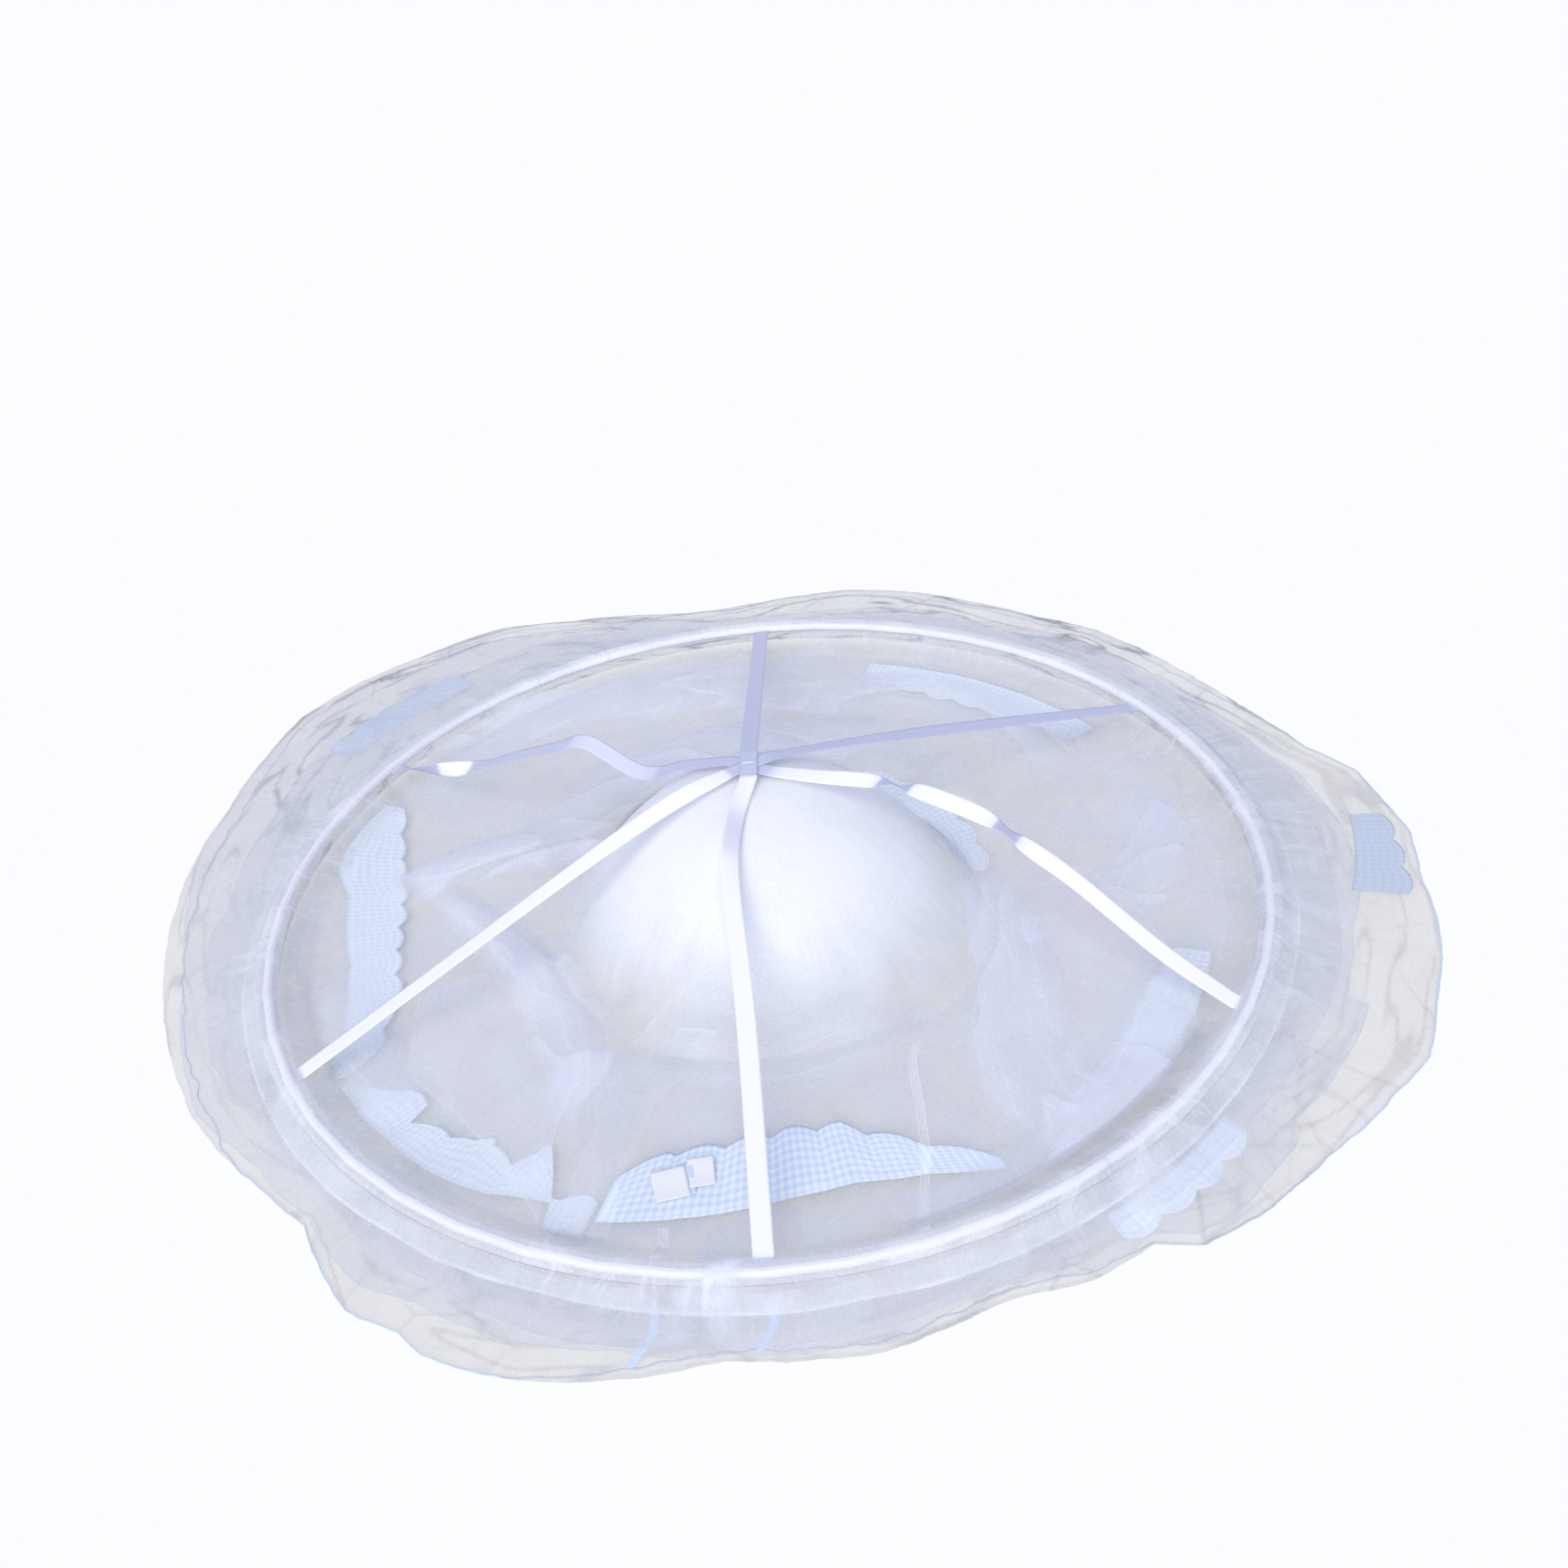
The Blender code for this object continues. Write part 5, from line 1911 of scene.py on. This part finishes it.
@dataclass
class Ribbon:
    """A satin ribbon from seam to seam across the crossing.

    The arms are counted from the back right one anticlockwise.
    """

    name: str
    order: int
    far: int
    far_arm: Arm
    near_arm: Arm
    width: float = 0.0200
    seam_height: float = 0.0412
    hub: float = 0.0260
    first_height: float = 0.1906
    step: float = 0.0012
    thickness: float = 0.0005
    columns: int = 480

    def side_of(self, distance: np.ndarray, arm: Arm) -> tuple[np.ndarray, ...]:
        """Work out how one arm lies: evenly down from the crossing to the seam, and its own rise.

        Args:
            distance: How far each place is from the crossing.
            arm: The arm.

        Returns:
            The height, shift and turn at each place.
        """
        share = np.clip((distance - self.hub) / (FOOT_R - self.hub), 0, 1)
        top = self.first_height + self.step * self.order
        shift, rise, turn = arm.at(share)
        return top + (self.seam_height - top) * share + rise, shift, turn

    def make(self, satin: bpy.types.Material) -> None:
        """Make the ribbon: a flat section carried along its line and turned about it.

        A highlight is painted where its face's normal comes near the way to the light, less so
        behind, and painted shade is left elsewhere.

        Args:
            satin: The material.
        """
        distance = np.linspace(-SEAM_R, SEAM_R, self.columns)
        far = self.side_of(np.abs(distance), self.far_arm)
        near = self.side_of(np.abs(distance), self.near_arm)
        height, shift, turn = (np.where(distance >= 0, a, b) for a, b in zip(far, near))
        bearing = math.radians(FIRST_ARM + ARM_SPACING * self.far)
        ahead = np.array([math.cos(bearing), math.sin(bearing), 0.0])
        level = np.array([-math.sin(bearing), math.cos(bearing), 0.0])
        line = distance[:, None] * ahead + shift[:, None] * level
        line[:, 2] = height
        across = np.linspace(-1, 1, 9)[:, None, None] * self.width / 2
        up = np.array([0.0, 0.0, 1.0])
        lean = np.cos(turn)[None, :, None] * level + np.sin(turn)[None, :, None] * up
        points = np.swapaxes(line[None] + across * lean, 0, 1)
        face = np.cross(np.gradient(line, axis=0), lean[0])
        face /= np.linalg.norm(face, axis=1)[:, None]
        # Painted highlight where the face turns to the light, weaker on the far arm near the
        # crossing; painted shade elsewhere
        facing = np.abs(face @ np.array(LIT_FROM))
        behind = (distance > 0) & (distance < 0.43)
        painted_gleam = smooth_step((facing - 0.62) / 0.10) * np.where(behind, 0.30, 1.0)
        piece = surface(self.name + "_satin", points, satin, painted_light=painted_gleam[:, None])
        thicken(piece, "ribbon_thickness", self.thickness)
        lay_sheet(points)
        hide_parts(self.name)
        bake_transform(piece)


RIBBONS = (
    Ribbon(
        "ribbon_back_left", 0, 2,
        Arm((
            (0, 0, 0, 0), (0.12, 0, -5, -8), (0.24, 0, -13, -22), (0.38, 0, 32, -26),
            (0.48, 0, 26, -12), (0.60, 0, 16, -8), (0.72, 0, 3, -6), (0.80, 0, -2, -60),
            (0.96, 0, -1, -150), (1, 0, 0, -180),
        )),
        Arm((
            (0, 0, 0, 0), (0.10, -14, 12, -14), (0.20, -30, 25, -20), (0.26, -37, 31, 34),
            (0.32, -42, 35, -24), (0.44, -46, 38, -26), (0.50, -43, 36, 24), (0.56, -38, 32, -24),
            (0.66, -30, 26, -24), (0.85, -10, 8, -18), (1, 0, 0, -6),
        )),
    ),
    Ribbon(
        "ribbon_back_right", 1, 0,
        Arm(((0, 0, 0, 0), (0.08, 0, 3, -10), (0.20, 0, 5, -6), (0.45, 0, 5, 8), (1, 0, 0, 0))),
        Arm((
            (0, 0, 0, 0), (0.10, 0, 10, 30), (0.22, 0, 14, 20), (0.40, 0, 13, 8), (0.65, 0, 8, 0),
            (1, 0, 0, 0),
        )),
    ),
    Ribbon(
        "ribbon_front", 2, 1,
        Arm(),
        Arm((
            (0, 0, 0, 0), (0.08, 12, 2, 32), (0.19, 21, 3, 30), (0.30, 21, 2, 4), (0.56, 10, 0, 0),
            (1, 0, 0, 0),
        )),
    ),
)


@dataclass
class Trims:
    """The seam tapes, the blank care labels, the patch under the crossing and its stitches."""

    roof: Roof
    tapes: tuple[tuple[str, tuple[tuple[float, float], ...]], ...] = (
        (
            "seam_tape_front",
            (
                (0.322, 296.6), (0.350, 292.8), (0.416, 288.9), (0.460, 286.8), (0.510, 284.0),
                (SEAM_R, 282.0),
            ),
        ),
        ("seam_tape_label", ((0.509, 256.2), (0.535, 256.8), (SEAM_R, 257.2))),
    )
    tape_half: float = 5.0 * MM
    tape_rows: int = 90
    label_thickness: float = 0.3 * MM
    stitch_shifts: tuple[float, ...] = (-0.75, 0.0, 0.75)
    stitch_half: float = 6.4 * MM
    thread: float = 0.32 * MM

    def make_tape(
        self, name: str, places: tuple[tuple[float, float], ...], cloth: bpy.types.Material
    ) -> None:
        """Make a seam tape, raised along its two stitched edges.

        Args:
            name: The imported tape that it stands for.
            places: The radius and bearing of places along it, from its inner end.
            cloth: The material.
        """
        reach, way = curve_through(np.array(places, float), self.tape_rows).T
        radius, across = reach[:, None], row(-1, 1, 13)
        turn = way[:, None] + np.degrees(self.tape_half * across / radius)
        rise = 4.6 * MM + 0.7 * MM * np.abs(across) ** 2
        points = polar(radius + 0 * across, turn, self.roof.height(radius, turn) + rise)
        edges = smooth_step((np.abs(across) - 0.55) / 0.3)
        stitched = edges + 0.8 * smooth_step((0.25 - np.abs(across)) / 0.2)
        piece = surface(f"{name}_strip", points, cloth, 0.42 + 0.42 * stitched, 0.95)
        lay_sheet(points)
        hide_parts(name)
        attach(piece, HOOP_BODY)

    def make_label(
        self,
        name: str,
        centre: tuple[float, float],
        turn: float,
        size: tuple[float, float],
        rise: float,
        cloth: bpy.types.Material,
    ) -> None:
        """Make a blank label that curls a little at its free end.

        Args:
            name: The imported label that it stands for, or a name of its own.
            centre: Its radius and bearing.
            turn: How far it is turned from the radius, in degrees.
            size: Its width and length.
            rise: How far above the roof it lies.
            cloth: The material.
        """
        across, along = row(-0.5, 0.5, 14) * size[0], column(-0.5, 0.5, 18) * size[1]
        curl = 3.0 * MM * smooth_step(0.5 - along / size[1]) ** 2
        middle = flat_at(*map(np.array, centre))
        way = math.radians(centre[1] + turn)
        x = middle[0] - across * math.sin(way) + along * math.cos(way)
        y = middle[1] + across * math.cos(way) + along * math.sin(way)
        points = np.stack([x, y, ROOF_TOP + rise + curl + 0 * across], axis=-1)
        piece = surface(f"{name}_cloth", points, cloth)
        thicken(piece, "label_thickness", self.label_thickness, offset=-1.0)
        lay_sheet(points)
        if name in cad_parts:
            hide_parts(name)
        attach(piece, HOOP_BODY)

    def make_patch(self, satin: bpy.types.Material) -> None:
        """Make the round patch under the crossing, closed at its middle above and below.

        Args:
            satin: The material.
        """
        turn = full_turn(48)
        reach = np.array([0.0, 4.0, 8.0, 9.6, 10.0, 9.6, 8.0, 4.0, 0.0])[:, None] * MM
        rise = np.array([0.1, 0.1, 0.1, 0.3, 0.8, 1.3, 1.5, 1.5, 1.5])[:, None] * MM
        points = polar(reach, turn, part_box("hub_patch")[0].z + rise + 0 * turn)
        patch = surface("hub_patch_satin", points, satin, ring=True, wraps=True)
        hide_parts("hub_patch")
        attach(patch, HUB_BODY)

    def make_stitches(self, thread: bpy.types.Material) -> None:
        """Make the stitches over the crossing, which dip at their ends.

        Args:
            thread: The material.
        """
        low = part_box("hub_stitch")[0].z
        way = math.radians(FIRST_ARM + ARM_SPACING + 90)
        along = row(-1, 1, 24)
        turn = np.linspace(0, -math.tau, 8, endpoint=False)[:, None]
        for number, shift in enumerate(self.stitch_shifts, start=1):
            far = along * self.stitch_half
            out = shift * MM * (1 + 0.25 * along) + self.thread * np.cos(turn)
            x = far * math.cos(way) - out * math.sin(way)
            y = far * math.sin(way) + out * math.cos(way)
            z = low + (0.85 - 0.5 * along**6) * MM + self.thread * np.sin(turn)
            points = np.stack(np.broadcast_arrays(x, y, z), axis=-1)
            stitch = surface(f"hub_thread_{number}", points, thread, tube=True)
            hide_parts("hub_stitch")
            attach(stitch, HUB_BODY)

    def make(self, materials: dict[str, bpy.types.Material]) -> None:
        """Make the tapes, labels, patch and stitches.

        Args:
            materials: Every material by the piece that it is for.
        """
        label, binding = materials["label"], materials["binding"]
        for name, places in self.tapes:
            self.make_tape(name, places, materials["casing"])
        self.make_label("care_label_large", (0.459, 255.6), 24.0, (0.034, 0.036), 6.0 * MM, label)
        self.make_label("care_label_small", (0.441, 259.0), 14.0, (0.026, 0.034), 5.6 * MM, label)
        self.make_label("label_tab", (0.450, 257.6), 18.0, (0.011, 0.036), 5.0 * MM, binding)
        self.make_patch(materials["satin"])
        self.make_stitches(materials["thread"])


def make_materials() -> dict[str, bpy.types.Material]:
    """Make every material.

    Returns:
        The materials, by the piece that each is for.
    """
    finishes = {
        # For each net and for the satin, the first tone is a painted highlight and the second
        # painted shade
        "single": NetFinish("tulle, single ply", "#DFDEDE", "#A8ABB1", gathers=0.08),
        "skirt": NetFinish("tulle, gathered plies", "#EFF3FC", "#CDD3E2", gathers=0.10),
        "bed": NetFinish("tulle, creased plies on the floor", "#DEE4F0", "#C6C5CB", gathers=0.05),
        "roof": NetFinish("tulle, roof ply", "#EBF0FA", "#D2D6DF", gathers=0.08),
        "fold": NetFinish("tulle, loose folds", "#F6F8FE", "#DCE4F4", gathers=0.05),
        "pile": NetFinish(
            "tulle, bunched", "#FBFDFF", "#E6EDF8", gathers=0.04, grain=0.05, passes=0.12
        ),
        "casing": NetFinish("net tape, stitched double", "#FAFCFF", "#E2E8F7", gathers=0.08),
        "gingham": GinghamFinish(),
        "gingham_veiled": GinghamFinish("gingham, folded under net", "#DCE6F0", "#EEF3F7"),
        # A darker copy of the gingham: painted shade for strips that lie under several plies
        "gingham_shaded": GinghamFinish("gingham, under several plies", "#C8D3E0", "#D2DBE6"),
        "satin": WovenFinish(
            "polyester satin ribbon", "#FAFBFF", "#C6CBE4", 0.42, sheen=0.0, paints_light=True
        ),
        "binding": WovenFinish(
            "cotton bias binding", "#D6E5F5", "#CCDDF1", float_mm=2.0, yarn_mm=0.8
        ),
        "label": WovenFinish("satin label tape, blank", "#F7F8F8", "#ECEEF0", 0.6, float_mm=3.0),
        "thread": WovenFinish(
            "polyester thread", "#FFFFFF", "#EDF0FF", 0.5, float_mm=1.5, yarn_mm=0.4
        ),
        "tube": HardFinish("steel tube, powder-coated", "#F4F6FA", "#EBEEF4", 0.35),
        "joiner": HardFinish("polypropylene, moulded", "#DCDDE4", "#CFD1DA", 0.5),
    }
    return {piece: finish.make() for piece, finish in finishes.items()}


def main() -> None:
    """Build the camera, the studio and every sub-assembly in order."""
    logging.basicConfig(level=logging.INFO, format="%(name)s: %(message)s")
    Camera().make()
    studio = Studio()
    studio.make_floor()
    studio.make_lights()
    materials = make_materials()
    skirt = Skirt(Outline())
    skirt.make(materials)
    LOG.info("skirt, hems and door edges made")
    Sleeve().make(materials)
    LOG.info("hoop and casing made")
    pile = Pile()
    pile.make_bed(materials["bed"])
    pile.make(materials["pile"])
    LOG.info("bed and pile made")
    roof = Roof(pile)
    roof.make(materials["roof"])
    LOG.info("roof made")
    for strip in (*FRILLS, *STRAYS):
        strip.make(skirt, materials["fold"])
    for hem in GINGHAMS:
        hem.make(skirt, materials[hem.finish])
    CaughtHem(roof).make(materials["gingham_veiled"])
    LOG.info("%d frills and %d gingham hems made", len(FRILLS), len(GINGHAMS) + 1)
    for loose in (*SWATHS, *VEILS):
        loose.make(roof, materials["fold"])
    LOG.info("%d loose folds and veils made", len(SWATHS) + len(VEILS))
    for ribbon in RIBBONS:
        ribbon.make(materials["satin"])
    Trims(roof).make(materials)
    LOG.info("ribbons, tapes, labels and crossing made")


if __name__ == "__main__":
    main()
